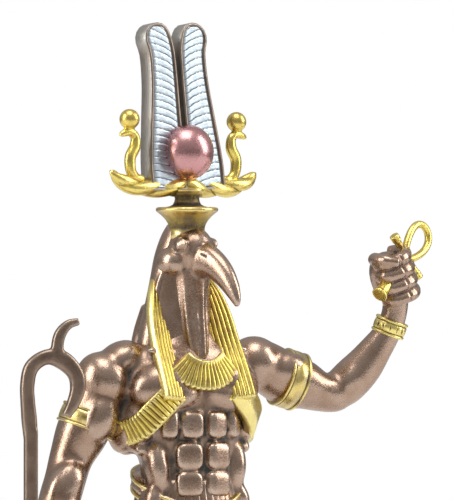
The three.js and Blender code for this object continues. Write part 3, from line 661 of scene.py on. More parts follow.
@dataclass
class Body:
    """Torso, shoulders and arms, cast in one bronze skin."""

    voxel: float = 0.62
    torso: tuple[Row, ...] = (
        (0, 1.0, 116, 15, 10.5),
        (0, 0.6, 127, 19.3, 13.0),
        (0, 0.3, 136, 19.0, 13.0),
        (0, 0.0, 146, 16.6, 12.0),
        (0, 0.6, 153, 18.0, 12.4),
        (0, 1.2, 159, 21.4, 13.2),
        (0, 1.4, 168, 24.4, 13.6),
        (0, 1.8, 177, 25.6, 13.2),
        (0, 3.0, 185, 23.0, 11.6),
        (0, 3.6, 190, 16.5, 9.8),
        (0, 3.4, 197, 8.0, 7.5),
    )
    right_arm: tuple[Row, ...] = (
        (-27.0, 4.8, 184, 6.6, 6.8),
        (-30.4, 5.4, 176, 8.0, 8.4),
        (-33.6, 6.4, 168, 8.6, 8.8),
        (-37.2, 7.2, 160, 9.2, 9.0),
        (-41.0, 8.0, 151.4, 7.6, 7.4),
        (-44.0, 6.4, 144.6, 7.2, 6.9),
        (-49.0, 2.4, 136.2, 7.1, 6.4),
        (-54.2, -1.6, 127.4, 5.5, 4.9),
        (-58.4, -5.0, 120, 4.2, 3.7),
        (-60.2, -6.2, 116, 4.0, 3.4),
    )
    left_upper_arm: tuple[Row, ...] = (
        (25.5, 4.4, 185.5, 7.0, 7.0),
        (32.0, 4.0, 182.8, 8.6, 8.4),
        (39.5, 3.0, 178.2, 9.6, 8.8),
        (46.5, 2.2, 175.8, 9.2, 8.6),
        (54.0, 1.4, 172.8, 7.6, 7.0),
        (60.4, 0.8, 172.2, 7.0, 6.8),
        (64.2, 0.0, 173.4, 5.0, 5.2),
    )
    left_forearm: tuple[Row, ...] = (
        (58.8, 1.6, 170.4, 4.6, 4.8),
        (62.0, 0.4, 173.2, 6.9, 6.6),
        (65.8, -1.0, 177.0, 7.4, 6.8),
        (69.9, -3.0, 181.8, 6.9, 6.3),
        (73.3, -5.0, 187.2, 5.9, 5.5),
        (76.2, -6.8, 192.1, 5.1, 4.8),
        (78.1, -8.2, 196.8, 4.7, 4.4),
        (78.9, -9.4, 202.1, 4.6, 4.2),
        (78.6, -10.2, 208, 4.8, 4.4),
    )
    # Muscles found on both sides: place on the left side, half sizes, angles
    paired: tuple[tuple[Point, Point, Point], ...] = (
        ((12.0, -4.4, 176.4), (13.4, 10.0, 9.4), (0, 0.3, 0)),
        ((10.4, -8.4, 172.4), (10.0, 6.2, 5.8), (0, 0.24, 0.25)),
        ((20.4, 4.6, 167), (6.6, 9.4, 15), (0, -0.24, 0)),
        ((15.5, 5.2, 184.4), (14.5, 7.0, 6.4), (0, 0.12, 0)),
        ((11.0, -5.4, 187.4), (10.5, 2.4, 2.2), (0, -0.1, -0.3)),
        ((19.0, -4.4, 160.4), (3.6, 5.4, 2.9), (0, 0.7, 0.6)),
        ((19.6, -1.6, 155.2), (3.2, 5.2, 2.7), (0, 0.7, 0.5)),
        ((14.4, -4.6, 147.4), (4.6, 6.6, 10.5), (0, 0.1, 0.3)),
        ((15.8, -2.4, 136.5), (4.6, 8.4, 8.0), (0, -0.3, 0.3)),
        ((12.4, 11.6, 176), (9.2, 4.4, 9.6), (0, 0.35, 0)),
        ((16.5, 9.4, 163), (6.5, 5.6, 12), (0, -0.3, 0)),
        ((4.6, 11.0, 150), (4.2, 3.8, 19), (0, 0, 0)),
    )
    shoulders: tuple[tuple[Point, Point, Point], ...] = (
        ((-24.6, 3.6, 185.4), (8.6, 8.0, 5.6), (0, -0.5, 0)),
        ((-30.8, 4.6, 177.6), (9.2, 10.2, 10.4), (0, -0.3, 0)),
        ((-34.0, 0.6, 165.6), (6.6, 6.2, 10.0), (0, 0.4, 0)),
        ((-35.4, 10.6, 166), (6.2, 5.6, 11.5), (0, 0.4, 0)),
        ((-47.0, 1.2, 142.0), (6.2, 5.0, 9.6), (0, 0.62, 0)),
        ((-44.6, 9.4, 148.4), (3.6, 3.2, 4.6), (0, 0.4, 0)),
        ((28.8, 3.8, 183.2), (9.6, 9.8, 9.4), (0, -0.5, 0)),
        ((40.6, -1.6, 180.0), (8.6, 5.8, 7.0), (0, 0.3, 0)),
        ((43.6, 4.4, 173.0), (11.0, 5.4, 6.2), (0, 0.15, 0)),
        ((65.2, -3.6, 178.2), (4.8, 4.6, 8.4), (0, 0.72, 0)),
        ((68.4, 1.2, 178.4), (4.4, 4.2, 8.8), (0, 0.62, 0)),
    )
    # Rows of the abdomen: height, half height, middles sideways, how far forward
    abdomen: tuple[tuple[float, float, tuple[float, ...], float], ...] = (
        (162.6, 4.7, (4.6, 12.0), -11.3),
        (152.0, 4.7, (5.5,), -10.9),
        (142.4, 4.4, (5.5,), -10.9),
        (132.6, 4.3, (5.3,), -11.4),
    )
    pad_proud: float = 3.1
    pad_power: float = 0.5
    groove: float = 0.9

    def pads(self, clay: Clay) -> None:
        """Adds the blocks of the abdomen.

        Args:
            clay: What they are added to.
        """
        for side in Side:
            for height, half, middles, front in self.abdomen:
                for index, middle in enumerate(middles):
                    wide = middle - 0.5 if index == 0 else 3.1
                    at = (side.value * middle, front + index * 2.0, height)
                    turn = (0, 0, side.value * (0.2 + index * 0.36))
                    clay.ball(at, (wide, self.pad_proud, half), turn, self.pad_power)

    def grooves(self, skin: Skin) -> None:
        """Cuts the lines between the muscles.

        Args:
            skin: The fused skin.
        """
        front = -14.4
        skin.stroke([(0, front, 168), (0, front, 150), (0, front, 128)], self.groove, -0.5)
        for side in Side:
            x = side.value
            chest = [(x * 1.0, -13.8, 168.4), (x * 6, -14.4, 167.6), (x * 12, -13.2, 166.6), (x * 18, -9.6, 163.4)]
            skin.stroke(chest, 1.0, -0.55)
            rim = [(x * 11.2, -12.0, 157), (x * 11.4, -11.6, 148), (x * 11.0, -11.6, 136)]
            skin.stroke(rim, 1.1, -0.5)
        skin.stroke([(0.4, -13.6, 186), (0.2, -14.4, 178), (0, -14.2, 169)], 1.0, -0.45)

    def build(self, maker: Maker) -> None:
        """Makes the piece.

        Args:
            maker: Places the piece.
        """
        clay = Clay()
        clay.loft(self.torso, round_section(48, 0.88), steps=40)
        for arm in (self.right_arm, self.left_upper_arm, self.left_forearm):
            clay.loft(arm, round_section(28), ARM_ACROSS, steps=30)
        for side in Side:
            for at, size, turn in self.paired:
                clay.ball(
                    (side.value * at[0], at[1], at[2]), size, (turn[0], side.value * turn[1], side.value * turn[2]))
        for at, size, turn in self.shoulders:
            clay.ball(at, size, turn)
        base = Skin(clay.fused("body", self.voxel)).smooth(10)
        blocks = Clay()
        blocks.bm.from_mesh(base.write())
        self.pads(blocks)
        skin = Skin(blocks.fused("body", self.voxel)).smooth(3)
        self.grooves(skin)
        # The broad hollows between muscles and parts are painted dark as shade; the fine grooves take the dark wash.
        fine, broad_shade = skin.relief(3, 0.16), skin.relief(24, 1.3)
        mesh = skin.write(hollow=np.maximum(fine, broad_shade * 0.8), ridge=-fine * 1.2)
        maker.piece("body", mesh, BRONZE, ("figure",))


@dataclass
class Hand:
    """A closed fist: palm, four fingers in three lengths each, and a thumb."""

    name: str
    at: Point
    size: Point
    turn: Point
    thumb: tuple[Row, ...]
    voxel: float = 0.4
    fingers: int = 4
    # Joints of one finger as shares of the fist's size: sideways, forward, share of the finger's radius
    joints: tuple[tuple[float, float, float], ...] = (
        (0.86, 0.25, 0.9),
        (0.80, -0.42, 1.06),
        (0.36, -0.86, 0.98),
        (-0.10, -1.0, 1.08),
        (-0.52, -0.84, 0.98),
        (-0.84, -0.42, 1.02),
        (-0.80, 0.1, 0.86),
    )

    @property
    def matrix(self) -> Matrix:
        """Gives the fist's place and turn."""
        return Matrix.Translation(self.at) @ Euler(self.turn, "ZYX").to_matrix().to_4x4()

    def finger_height(self, index: int) -> float:
        """Gives how high a finger's middle lies in the fist.

        Args:
            index: Counted from the top.

        Returns:
            The height in millimetres.
        """
        return self.size[2] * 0.74 * (1 - 2 * index / (self.fingers - 1))

    def build(self, maker: Maker) -> None:
        """Makes the piece.

        Args:
            maker: Places the piece.
        """
        wide, deep, high = self.size
        clay = Clay()
        clay.ball((0.6, 0.6, 0), (wide * 0.78, deep * 0.86, high * 0.96), power=0.85)
        for index in range(self.fingers):
            z = self.finger_height(index)
            radius = high * (0.27 - 0.012 * abs(index - 1))
            rows = [(wide * x, deep * y, z, radius * share, radius * share) for x, y, share in self.joints]
            clay.loft(rows, round_section(16), (0, 0, 1), steps=16)
        clay.loft(self.thumb, round_section(16), (0, 1, 0), steps=12)
        skin = Skin(clay.fused(self.name, self.voxel)).smooth(2)
        for index in range(self.fingers):
            z = self.finger_height(index)
            for x, y in ((0.36, -1.16), (-0.52, -1.14)):
                crease = [(wide * x, deep * y, z - 1.6), (wide * x, deep * y, z + 1.6)]
                skin.stroke(crease, 0.9, -0.28)
        mesh = skin.write(hollow=skin.relief(4, 0.16), ridge=-skin.relief(3, 0.14))
        mesh.transform(self.matrix)
        maker.piece(self.name, mesh, BRONZE)


@dataclass
class Head:
    """The ibis head with its long bent beak, and the fluted neck."""

    voxel: float = 0.42
    skull: tuple[Point, Point] = ((0, -1.0, 221.6), (7.7, 10.2, 9.6))
    cheek: tuple[Point, Point] = ((5.4, 1.2, 218.4), (5.4, 6.6, 5.4))
    beak: tuple[Row, ...] = (
        (0, -3.0, 218.8, 5.6, 7.0),
        (0, -9.0, 219.0, 4.6, 6.2),
        (0, -14.4, 217.2, 3.9, 5.2),
        (0, -19.2, 213.8, 3.2, 4.3),
        (0, -23.0, 209.4, 2.4, 3.2),
        (0, -25.2, 205.6, 1.5, 2.0),
        (0, -25.9, 203.2, 0.7, 0.9),
    )
    neck: tuple[Row, ...] = (
        (0, -1.6, 215, 6.6, 6.8),
        (0, -2.0, 207, 6.2, 6.4),
        (0, -2.4, 199, 5.8, 6.4),
        (0, -3.4, 191, 5.2, 6.2),
        (0, -4.6, 184, 4.0, 5.2),
    )
    flutes: int = 12

    def fluted(self, share: float, section: np.ndarray) -> np.ndarray:
        """Cuts the neck's flutes, which fade out at the top."""
        angle = np.arctan2(section[:, 0], section[:, 1])
        depth = 0.09 * min(1, share * 2.2)
        return section * (1 - depth * (0.5 - 0.5 * np.cos(self.flutes * angle)))[:, None]

    def face(self, skin: Skin) -> None:
        """Carves the eyes, brows, beak's edges and gape.

        Args:
            skin: The fused head, in its own unturned frame.
        """
        for side in Side:
            x = side.value
            brow = [
                (x * 4.6, -8.2, 229.0), (x * 6.2, -6.2, 230.2), (x * 7.4, -3.4, 229.6), (x * 8.0, -0.6, 227.8)]
            skin.stroke(brow, 0.9, 0.6)
            lid = [
                (x * 7.0, -7.4, 223.4), (x * 7.2, -6.6, 225.8), (x * 7.6, -4.4, 226.8), (x * 8.0, -2.0, 225.4),
                (x * 8.0, -1.0, 223.2)]
            skin.stroke(lid, 0.55, 0.5)
            lower = [(x * 7.0, -7.4, 223.2), (x * 7.6, -5.0, 221.6), (x * 8.0, -2.4, 221.8), (x * 8.0, -1.0, 223.2)]
            skin.stroke(lower, 0.5, 0.32)
            skin.stroke([(x * 7.4, -4.2, 224.0), (x * 7.5, -4.0, 224.2)], 1.7, 0.55)
            base = [(x * 2.6, -10.6, 224.6), (x * 5.2, -9.2, 222.6), (x * 6.0, -8.0, 219.4), (x * 5.4, -7.6, 216.4)]
            skin.stroke(base, 0.6, -0.5)
            gape = [
                (x * 6.0, -7.0, 217.4), (x * 5.0, -10.6, 215.6), (x * 4.2, -14.4, 213.4), (x * 3.4, -18.6, 210.4),
                (x * 2.4, -22.2, 206.6)]
            skin.stroke(gape, 0.6, -0.5)
            ridge = [(x * 2.0, -14.8, 221.4), (x * 1.6, -20.6, 216.8), (x * 1.2, -25.0, 210.4)]
            skin.stroke(ridge, 0.8, 0.16)
            skin.stroke([(x * 3.9, -11.6, 221.2), (x * 3.6, -13.6, 220.4)], 0.5, -0.5)
        skin.stroke([(0, -9.0, 230.2), (0, -11.2, 226.6)], 1.6, -0.2)

    def build(self, maker: Maker) -> None:
        """Makes the piece.

        Args:
            maker: Places the piece.
        """
        clay = Clay()
        clay.ball(*self.skull, fine=40)
        (x, y, z), size = self.cheek
        for side in Side:
            clay.ball((side.value * x, y, z), size, fine=32)
            clay.ball((side.value * 6.0, -4.6, 224.4), (2.2, 3.2, 2.6), fine=24)
        clay.loft(self.beak, round_section(32, 0.94), steps=40)
        clay.loft(self.neck, round_section(96), steps=24, shape=self.fluted)
        skin = Skin(clay.fused("head", self.voxel)).smooth(4)
        self.face(skin)
        skin.smooth(1, 0.5)
        # The broad hollows round the eyes, beak and neck are painted dark as shade; the fine grooves take the dark
        # wash.
        fine, broad_shade = skin.relief(3, 0.11), skin.relief(30, 1.1)
        mesh = skin.write(hollow=np.maximum(fine, broad_shade * 0.7), ridge=-fine * 1.2)
        mesh.transform(turned_about_z(HEAD_TURN))
        maker.piece("head", mesh, BRONZE)


@dataclass
class Headcloth:
    """The smooth wig cloth with its raised front edge, and the two gilded lappets."""

    voxel: float = 0.6
    cloth: tuple[Row, ...] = (
        (0, 6.4, 184, 18.4, 9.4),
        (0, 5.6, 190, 17.6, 9.6),
        (0, 5.2, 198, 15.8, 9.3),
        (0, 5.2, 206, 13.4, 8.8),
        (0, 5.0, 213, 11.6, 8.4),
        (0, 4.4, 220, 10.0, 8.2),
        (0, 3.2, 226, 7.8, 7.6),
        (0, 1.6, 230.5, 5.8, 6.0),
    )
    back: tuple[Row, ...] = (
        (0, 9.5, 203, 12.0, 4.5),
        (0, 13.0, 192, 14.0, 4.0),
        (0, 15.0, 181, 14.0, 3.2),
        (0, 15.4, 171, 13.4, 2.4),
    )
    lappet: tuple[Row, ...] = (
        (10.0, 4.6, 212, 1.8, 1.4),
        (10.9, 2.2, 206.6, 3.6, 2.0),
        (11.9, -0.6, 199.4, 4.6, 2.3),
        (12.5, -4.4, 190.8, 4.9, 2.4),
        (12.9, -9.6, 182, 4.9, 2.3),
        (13.2, -13.6, 174.6, 4.8, 2.2),
        (13.3, -15.0, 171.2, 4.8, 2.1),
    )
    ribs: int = 6

    def ribbed(self, ribs: int, depth: float, fine: int = 6) -> np.ndarray:
        """Gives a flat section with round ribs along its front.

        Args:
            ribs: Number of ribs.
            depth: Depth of the grooves between them.
            fine: Points on each rib.

        Returns:
            The section's corners.
        """
        u = np.linspace(-1, 1, ribs * fine + 1)
        crown = np.sqrt(np.clip(1.06 - 0.56 * u * u, 0, None))
        wave = np.abs(np.sin((u + 1) / 2 * ribs * math.pi)) ** 0.45
        front = np.stack([u, crown * (1 - depth + depth * wave)], axis=1)
        back = np.array([(1.0, -0.5), (0.85, -0.85), (0, -1), (-0.85, -0.85), (-1.0, -0.5)])
        middle = len(u) // 2
        return np.vstack([front[middle:], back, front[:middle]])

    def build(self, maker: Maker) -> None:
        """Makes the pieces.

        Args:
            maker: Places the pieces.
        """
        across = (math.cos(HEAD_TURN), math.sin(HEAD_TURN), 0)
        clay = Clay()
        clay.loft(self.cloth, round_section(48), across, steps=30)
        clay.loft(self.back, round_section(40, 0.6), steps=20)
        skin = Skin(clay.fused("headcloth", self.voxel)).smooth(6)
        for side in Side:
            x = side.value
            edge = [
                (x * 5.0, -4.4, 231), (x * 8.4, -2.6, 225.6), (x * 10.0, 0.0, 219), (x * 10.6, 2.4, 213),
                (x * 11.4, 3.2, 207)]
            turned = [tuple(turned_about_z(HEAD_TURN) @ Vector(place)) for place in edge]
            skin.stroke(turned, 1.3, 0.7)
        for turn in range(-5, 6):
            x = turn * 2.4
            skin.stroke([(x, 18, 203), (x * 1.04, 19.5, 190), (x * 1.04, 19.5, 172)], 0.7, -0.35)
        maker.piece("headcloth", skin.write(hollow=skin.relief(3, 0.16), ridge=-skin.relief(3, 0.16)), BRONZE)
        straps = Clay()
        for side in Side:
            rows = [(side.value * x, y, z, wide, deep) for x, y, z, wide, deep in reversed(self.lappet)]
            straps.loft(rows, self.ribbed(self.ribs, 0.24), (1, -0.5 * side.value, 0), steps=36)
        maker.piece("lappets", maker.carved(straps.mesh("lappets"), 1, 0.22), GOLD)


@dataclass
class Crown:
    """Cap, stem, twisted horns, two plumes, the sun ball and two rearing serpents."""

    cap_profile: tuple[tuple[float, float], ...] = (
        (0, 224.6), (6.6, 226.4), (6.15, 228.4), (6.1, 230.0), (6.5, 231.4), (7.4, 232.9), (8.6, 234.2),
        (9.8, 235.2), (10.5, 235.7), (10.8, 236.2), (10.75, 236.8), (10.3, 237.2), (9.4, 237.3), (7.6, 237.3),
        (6.0, 237.6), (4.9, 238.2), (4.4, 239.2), (4.2, 240.2), (4.5, 241.4), (5.4, 242.6), (6.2, 243.4),
        (0, 243.9),
    )
    reach: float = 33.4
    horn_z: float = 244.0
    rise: float = 5.4
    horn_radius: float = 2.95
    horn_y: float = 1.6
    # Horn rings: share of the reach, of the rise, of the radius
    horn_rings: tuple[tuple[float, float, float], ...] = (
        (-0.02, 0.14, 1.1),
        (0.12, 0.06, 1.16),
        (0.3, 0, 1.08),
        (0.5, -0.04, 1.02),
        (0.7, 0.08, 0.98),
        (0.86, 0.4, 0.84),
        (0.96, 0.82, 0.5),
        (1.0, 1.0, 0.16),
    )
    strands: float = 3.0
    base: float = 245.0
    height: float = 56.2
    thick: float = 5.8
    plume_y: float = 1.6
    lean: float = 0.1
    roll: float = -0.028
    rim: float = 1.15
    sunk: float = 0.7
    barbs: int = 23
    barb_drop: float = 3.2
    sun: tuple[Point, Point] = ((-0.5, -0.9, 256.2), (9.4, 8.6, 9.6))
    serpent: tuple[Row, ...] = (
        (19.0, 1.8, 247.1, 1.0, 1.2),
        (21.8, 1.8, 247.3, 1.5, 1.7),
        (24.0, 1.8, 249.6, 1.75, 1.9),
        (24.3, 1.8, 254.1, 1.8, 2.1),
        (22.2, 1.8, 257.7, 1.8, 2.1),
        (22.1, 1.8, 261.1, 1.55, 1.7),
        (24.2, 1.8, 262.8, 1.6, 1.5),
        (26.6, 1.8, 262.5, 1.4, 1.35),
        (28.4, 1.8, 261.9, 0.9, 0.9),
        (29.2, 1.8, 261.5, 0.3, 0.3),
    )
    ball: tuple[float, float, float] = (24.6, 267.2, 3.5)

    def outline(self) -> tuple[np.ndarray, np.ndarray]:
        """Gives a plume's inner and outer edge from its foot to its top, as rows of x and z."""
        h = self.height
        outer = resample([(16.8, -2, 0), (16.6, 8, 0), (14.9, h * 0.38, 0), (13.1, h * 0.62, 0), (12.8, h * 0.8, 0),
                          (14.1, h * 0.885, 0), (13.6, h * 0.945, 0), (11.0, h * 0.99, 0), (8.0, h, 0)], 60)
        inner = resample([(1.0, -2, 0), (1.0, h * 0.3, 0), (1.0, h * 0.72, 0), (1.5, h * 0.86, 0), (3.2, h * 0.95, 0),
                          (5.4, h * 0.99, 0), (8.0, h, 0)], 60)
        return inner[:, :2], outer[:, :2]

    def plume_matrix(self, side: Side) -> Matrix:
        """Gives a plume's place: leaning back and rolled a little, mirrored for the right side."""
        place = Matrix.Translation((0, self.plume_y, self.base))
        place @= Matrix.Rotation(self.roll, 4, "Y") @ Matrix.Rotation(-self.lean, 4, "X")
        return turned_about_z(HEAD_TURN) @ place @ Matrix.Diagonal((side.value, 1, 1, 1))

    def blade(self, side: Side) -> Clay:
        """Makes the body of a plume, with a sunk field inside its rim on both faces."""
        inner, outer = self.outline()
        clay = Clay()
        half = self.thick / 2
        corners = np.vstack([outer[::2], inner[::-1][2::2]])
        verts = [clay.bm.verts.new((x, -half, z)) for x, z in corners]
        face = clay.bm.faces.new(verts)
        made = bmesh.ops.extrude_face_region(clay.bm, geom=[face])["geom"]
        lifted = [item for item in made if isinstance(item, bmesh.types.BMVert)]
        bmesh.ops.translate(clay.bm, verts=lifted, vec=(0, self.thick, 0))
        bmesh.ops.recalc_face_normals(clay.bm, faces=clay.bm.faces)
        flats = [item for item in clay.bm.faces if abs(item.normal.y) > 0.9]
        for flat in flats:
            bmesh.ops.inset_region(clay.bm, faces=[flat], thickness=self.rim, depth=0, use_even_offset=True)
            bmesh.ops.inset_region(clay.bm, faces=[flat], thickness=0.25, depth=-self.sunk, use_even_offset=True)
        rims = [
            edge for edge in clay.bm.edges
            if len(edge.link_faces) == 2 and edge.calc_face_angle(0) > 0.7 and abs(edge.verts[0].co.y) > half - 0.1
        ]
        bmesh.ops.bevel(
            clay.bm, geom=rims, offset=0.35, segments=2, affect="EDGES", profile=0.5, material=-1)
        return clay.move(self.plume_matrix(side))

    def vane(self, side: Side, face: int) -> Clay:
        """Makes the barbs of one face of a plume as one ribbed sheet with thickness.

        Args:
            side: Which plume.
            face: -1 for the front and 1 for the back.

        Returns:
            The clay of the sheet.
        """
        inner, outer = self.outline()
        clay = Clay()
        columns, rows = 14, self.barbs * 8
        made = bmesh.ops.create_grid(clay.bm, x_segments=columns, y_segments=rows, size=1)["verts"]
        half = self.thick / 2
        top = self.height - self.rim - 0.3
        for vert in made:
            across = (vert.co.x + 1) / 2
            z = -1.5 + (top + 1.5) * (vert.co.y + 1) / 2
            low = np.interp(z, inner[:, 1], inner[:, 0]) + self.rim * 1.05
            high = np.interp(z, outer[:, 1], outer[:, 0]) - self.rim * 1.05
            low, high = min(low, (low + high) / 2), max(high, (low + high) / 2)
            drop = self.barb_drop * (1 - (1 - across) ** 2) - self.barb_drop
            phase = (z / self.height * self.barbs - drop * self.barbs / self.height * 1.0) % 1
            groove = min(1, min(phase, 1 - phase) / 0.2)
            rise = 0.42 * math.sqrt(max(groove * (2 - groove), 0)) + 0.1 * phase
            edge = min(across, 1 - across) * (high - low)
            rise *= min(1, edge / 0.5)
            vert.co = (low + (high - low) * across, face * (half - self.sunk + 0.05 + rise), z)
        skirt = bmesh.ops.extrude_face_region(clay.bm, geom=clay.bm.faces[:])["geom"]
        back = [item for item in skirt if isinstance(item, bmesh.types.BMVert)]
        for vert in back:
            vert.co.y = face * (half - self.sunk - 0.5)
        return clay.move(self.plume_matrix(side))

    def horns(self) -> Clay:
        """Makes both horns as a rope of two strands that narrows to each tip."""
        clay = Clay()
        for side in Side:
            rows = [
                (side.value * self.reach * out, self.horn_y, self.horn_z + self.rise * up,
                 self.horn_radius * size, self.horn_radius * size) for out, up, size in self.horn_rings
            ]

            def twist(share: float, section: np.ndarray) -> np.ndarray:
                """Swells the section into two strands that turn with the way along."""
                angle = np.arctan2(section[:, 0], section[:, 1])
                turn = -side.value * share * self.strands * math.pi + 0.35 * math.pi
                swell = 0.72 + 0.38 * np.abs(np.cos(angle + turn)) ** 0.7
                return section * swell[:, None]

            clay.loft(rows, round_section(40), (0, 0, 1), steps=72, shape=twist)
        return clay.move(turned_about_z(HEAD_TURN))

    def serpents(self) -> Clay:
        """Makes both rearing serpents with their balls."""
        clay = Clay()
        x, z, radius = self.ball
        for side in Side:
            rows = [(side.value * row[0], *row[1:]) for row in self.serpent]
            clay.loft(rows, round_section(24), (0, 1, 0), steps=44)
            clay.ball((side.value * x, 1.8, z), (radius, radius, radius), fine=32)
            clay.ball((side.value * 20.4, 1.8, 247.0), (3.0, 1.5, 1.3))
        return clay.move(turned_about_z(HEAD_TURN))

    def build(self, maker: Maker) -> None:
        """Makes the pieces.

        Args:
            maker: Places the pieces.
        """
        cap = Clay()
        cap.turned(self.cap_profile, 72)
        cap.move(turned_about_z(HEAD_TURN))
        maker.piece("cap_and_stem", maker.carved(cap.mesh("cap"), 2, 0.3), RUBBED_GOLD)
        maker.piece("horns", maker.carved(self.horns().mesh("horns"), 3, 0.2), GOLD)
        for side in Side:
            name = f"plume_{side.name.lower()}"
            maker.piece(name, maker.carved(self.blade(side).mesh(name), 1, 0.4), PLUME_SIDE)
            for face, word in ((-1, "front"), (1, "back")):
                vane = self.vane(side, face).mesh(f"{name}_vane")
                maker.piece(f"{name}_vane_{word}", maker.carved(vane, 1, 0.1), PEWTER)
        ball = Clay()
        ball.ball(*self.sun, fine=64)
        ball.move(turned_about_z(HEAD_TURN))
        maker.piece("sun_ball", maker.carved(ball.mesh("sun")), COPPER)
        snakes = self.serpents()
        mesh = snakes.fused("serpents", 0.32)
        skin = Skin(mesh).smooth(2)
        maker.piece("serpents", skin.write(hollow=skin.relief(6, 0.3), ridge=-skin.relief(4, 0.2)), GOLD)


@dataclass
class Ornaments:
    """Collar fan, chest straps, armbands and bracelets."""

    collar_y: float = -11.4
    collar_z: float = 192.9
    inner: float = 8.6
    outer: float = 18.8
    spread: float = 0.86
    rays: int = 15
    upright: float = math.radians(78.5)
    bend: float = 0.013
    strap_path: tuple[Point, ...] = (
        (12.2, -13.8, 174.5),
        (18.2, -11.6, 167.9),
        (22.0, -7.0, 162.4),
        (24.2, 1.5, 160.4),
        (22.2, 10.4, 164.5),
        (15.0, 14.8, 172),
        (9.5, 15.6, 180),
    )
    strap_wide: float = 4.5
    strap_ribs: int = 34
    # Where each band sits, the way the limb runs, half width, half depth, height, across
    bands: tuple[tuple[Point, Point, float, float, float, Point], ...] = (
        ((-35.0, 6.8, 164.0), (-37.0, 7.3, 159.0), 9.9, 9.8, 7.0, ARM_ACROSS),
        ((42.4, 2.6, 177.2), (46.2, 2.2, 176.0), 10.3, 10.0, 7.2, (0, 1, 0)),
    )
    bracelets: tuple[tuple[Point, Point, float, float, float, Point], ...] = (
        ((77.6, -7.9, 195.4), (78.3, -8.5, 197.8), 5.5, 5.1, 5.6, ARM_ACROSS),
        ((-55.6, -2.9, 124.8), (-56.8, -3.8, 122.8), 5.5, 5.0, 5.6, ARM_ACROSS),
    )

    def fan(self) -> Clay:
        """Makes the rayed fan with the plain band along its top."""
        clay = Clay()
        fine = 8
        steps = self.rays * fine
        made = bmesh.ops.create_grid(clay.bm, x_segments=steps, y_segments=14, size=1)["verts"]
        for vert in made:
            across, out = vert.co.x, (vert.co.y + 1) / 2
            angle = self.spread * across
            ray = abs(math.sin((across + 1) / 2 * self.rays * math.pi)) ** 0.4
            tip = self.outer - 0.9 * (1 - ray)
            radius = self.inner + (tip - self.inner) * out
            on_band = out < 0.2
            x = math.sin(angle) * radius
            rise = (1.35 if on_band else 0.75 + 0.6 * ray) - self.bend * x * x - 0.5 * out**6
            vert.co = (x, -math.cos(angle) * radius, rise)
        made = bmesh.ops.extrude_face_region(clay.bm, geom=clay.bm.faces[:])["geom"]
        for item in made:
            if isinstance(item, bmesh.types.BMVert):
                item.co.z -= 2.4
        place = Matrix.Translation((0, self.collar_y, self.collar_z)) @ Matrix.Rotation(self.upright, 4, "X")
        return clay.move(place)

    def straps(self) -> Clay:
        """Makes both cross-grooved chest straps."""
        clay = Clay()
        section = np.array([
            (0, 1), (0.5, 1), (0.86, 1), (0.9, 0.8), (1.0, 0.8), (1.0, -1), (-1.0, -1), (-1.0, 0.8), (-0.9, 0.8),
            (-0.86, 1), (-0.5, 1)])

        def ribs(share: float, section: np.ndarray) -> np.ndarray:
            """Sinks the strap's face at each groove, inside its plain edges."""
            wave = abs(math.sin(share * self.strap_ribs * math.pi)) ** 0.4
            changed = section.copy()
            changed[section[:, 1] == 1, 1] = 0.5 + 0.55 * wave
            return changed

        for side in Side:
            rows = [(side.value * x, y, z, self.strap_wide, 1.75) for x, y, z in self.strap_path]
            clay.loft(rows, section, (side.value * 0.35, 0, 1), steps=self.strap_ribs * 8, shape=ribs)
        return clay

    def band(self, clay: Clay, ring: tuple[Point, Point, float, float, float, Point], panels: int = 0) -> None:
        """Adds one band with a raised line along each edge.

        Args:
            clay: What it is added to.
            ring: Where it sits, the way the limb runs, its half sizes, height and across.
            panels: Sunk panels round it, for a bracelet.
        """
        start, end, wide, deep, high, across = ring
        ahead = (Vector(end) - Vector(start)).normalized()
        half = high / 2
        # Distance along the limb and how proud the band stands there
        profile = (
            (-half, -0.9), (-half, 0.25), (-half + 0.25, 0.5), (-half + 0.75, 0.5), (-half + 0.95, 0.16),
            (-half + 1.3, 0.12), (-half + 1.45, 0.32), (0, 0.42), (half - 1.45, 0.32), (half - 1.3, 0.12),
            (half - 0.95, 0.16), (half - 0.75, 0.5), (half - 0.25, 0.5), (half, 0.25), (half, -0.9))
        rows = []
        for along, proud in profile:
            at = Vector(start) + ahead * along
            rows.append((*at, wide + proud, deep + proud))

        def sunk(share: float, section: np.ndarray) -> np.ndarray:
            """Sinks the panels between the raised lines."""
            if not 0.45 < share < 0.55:
                return section
            angle = np.arctan2(section[:, 0], section[:, 1])
            groove = np.abs(np.cos(angle * panels / 2)) > 0.94
            return section * (1 - 0.06 * groove)[:, None]

        clay.loft(rows, round_section(96), across, shape=sunk if panels else None)

    def build(self, maker: Maker) -> None:
        """Makes the pieces.

        Args:
            maker: Places the pieces.
        """
        maker.piece("collar", maker.carved(self.fan().mesh("collar"), 2, 0.2), GOLD)
        maker.piece("chest_straps", maker.carved(self.straps().mesh("straps"), 2, 0.25), GOLD)
        armbands = Clay()
        for ring in self.bands:
            self.band(armbands, ring)
        maker.piece("armbands", maker.carved(armbands.mesh("armbands"), 1, 0.12), RUBBED_GOLD)
        bracelets = Clay()
        for ring in self.bracelets:
            self.band(bracelets, ring, panels=14)
        maker.piece("bracelets", maker.carved(bracelets.mesh("bracelets"), 1, 0.12), GOLD)


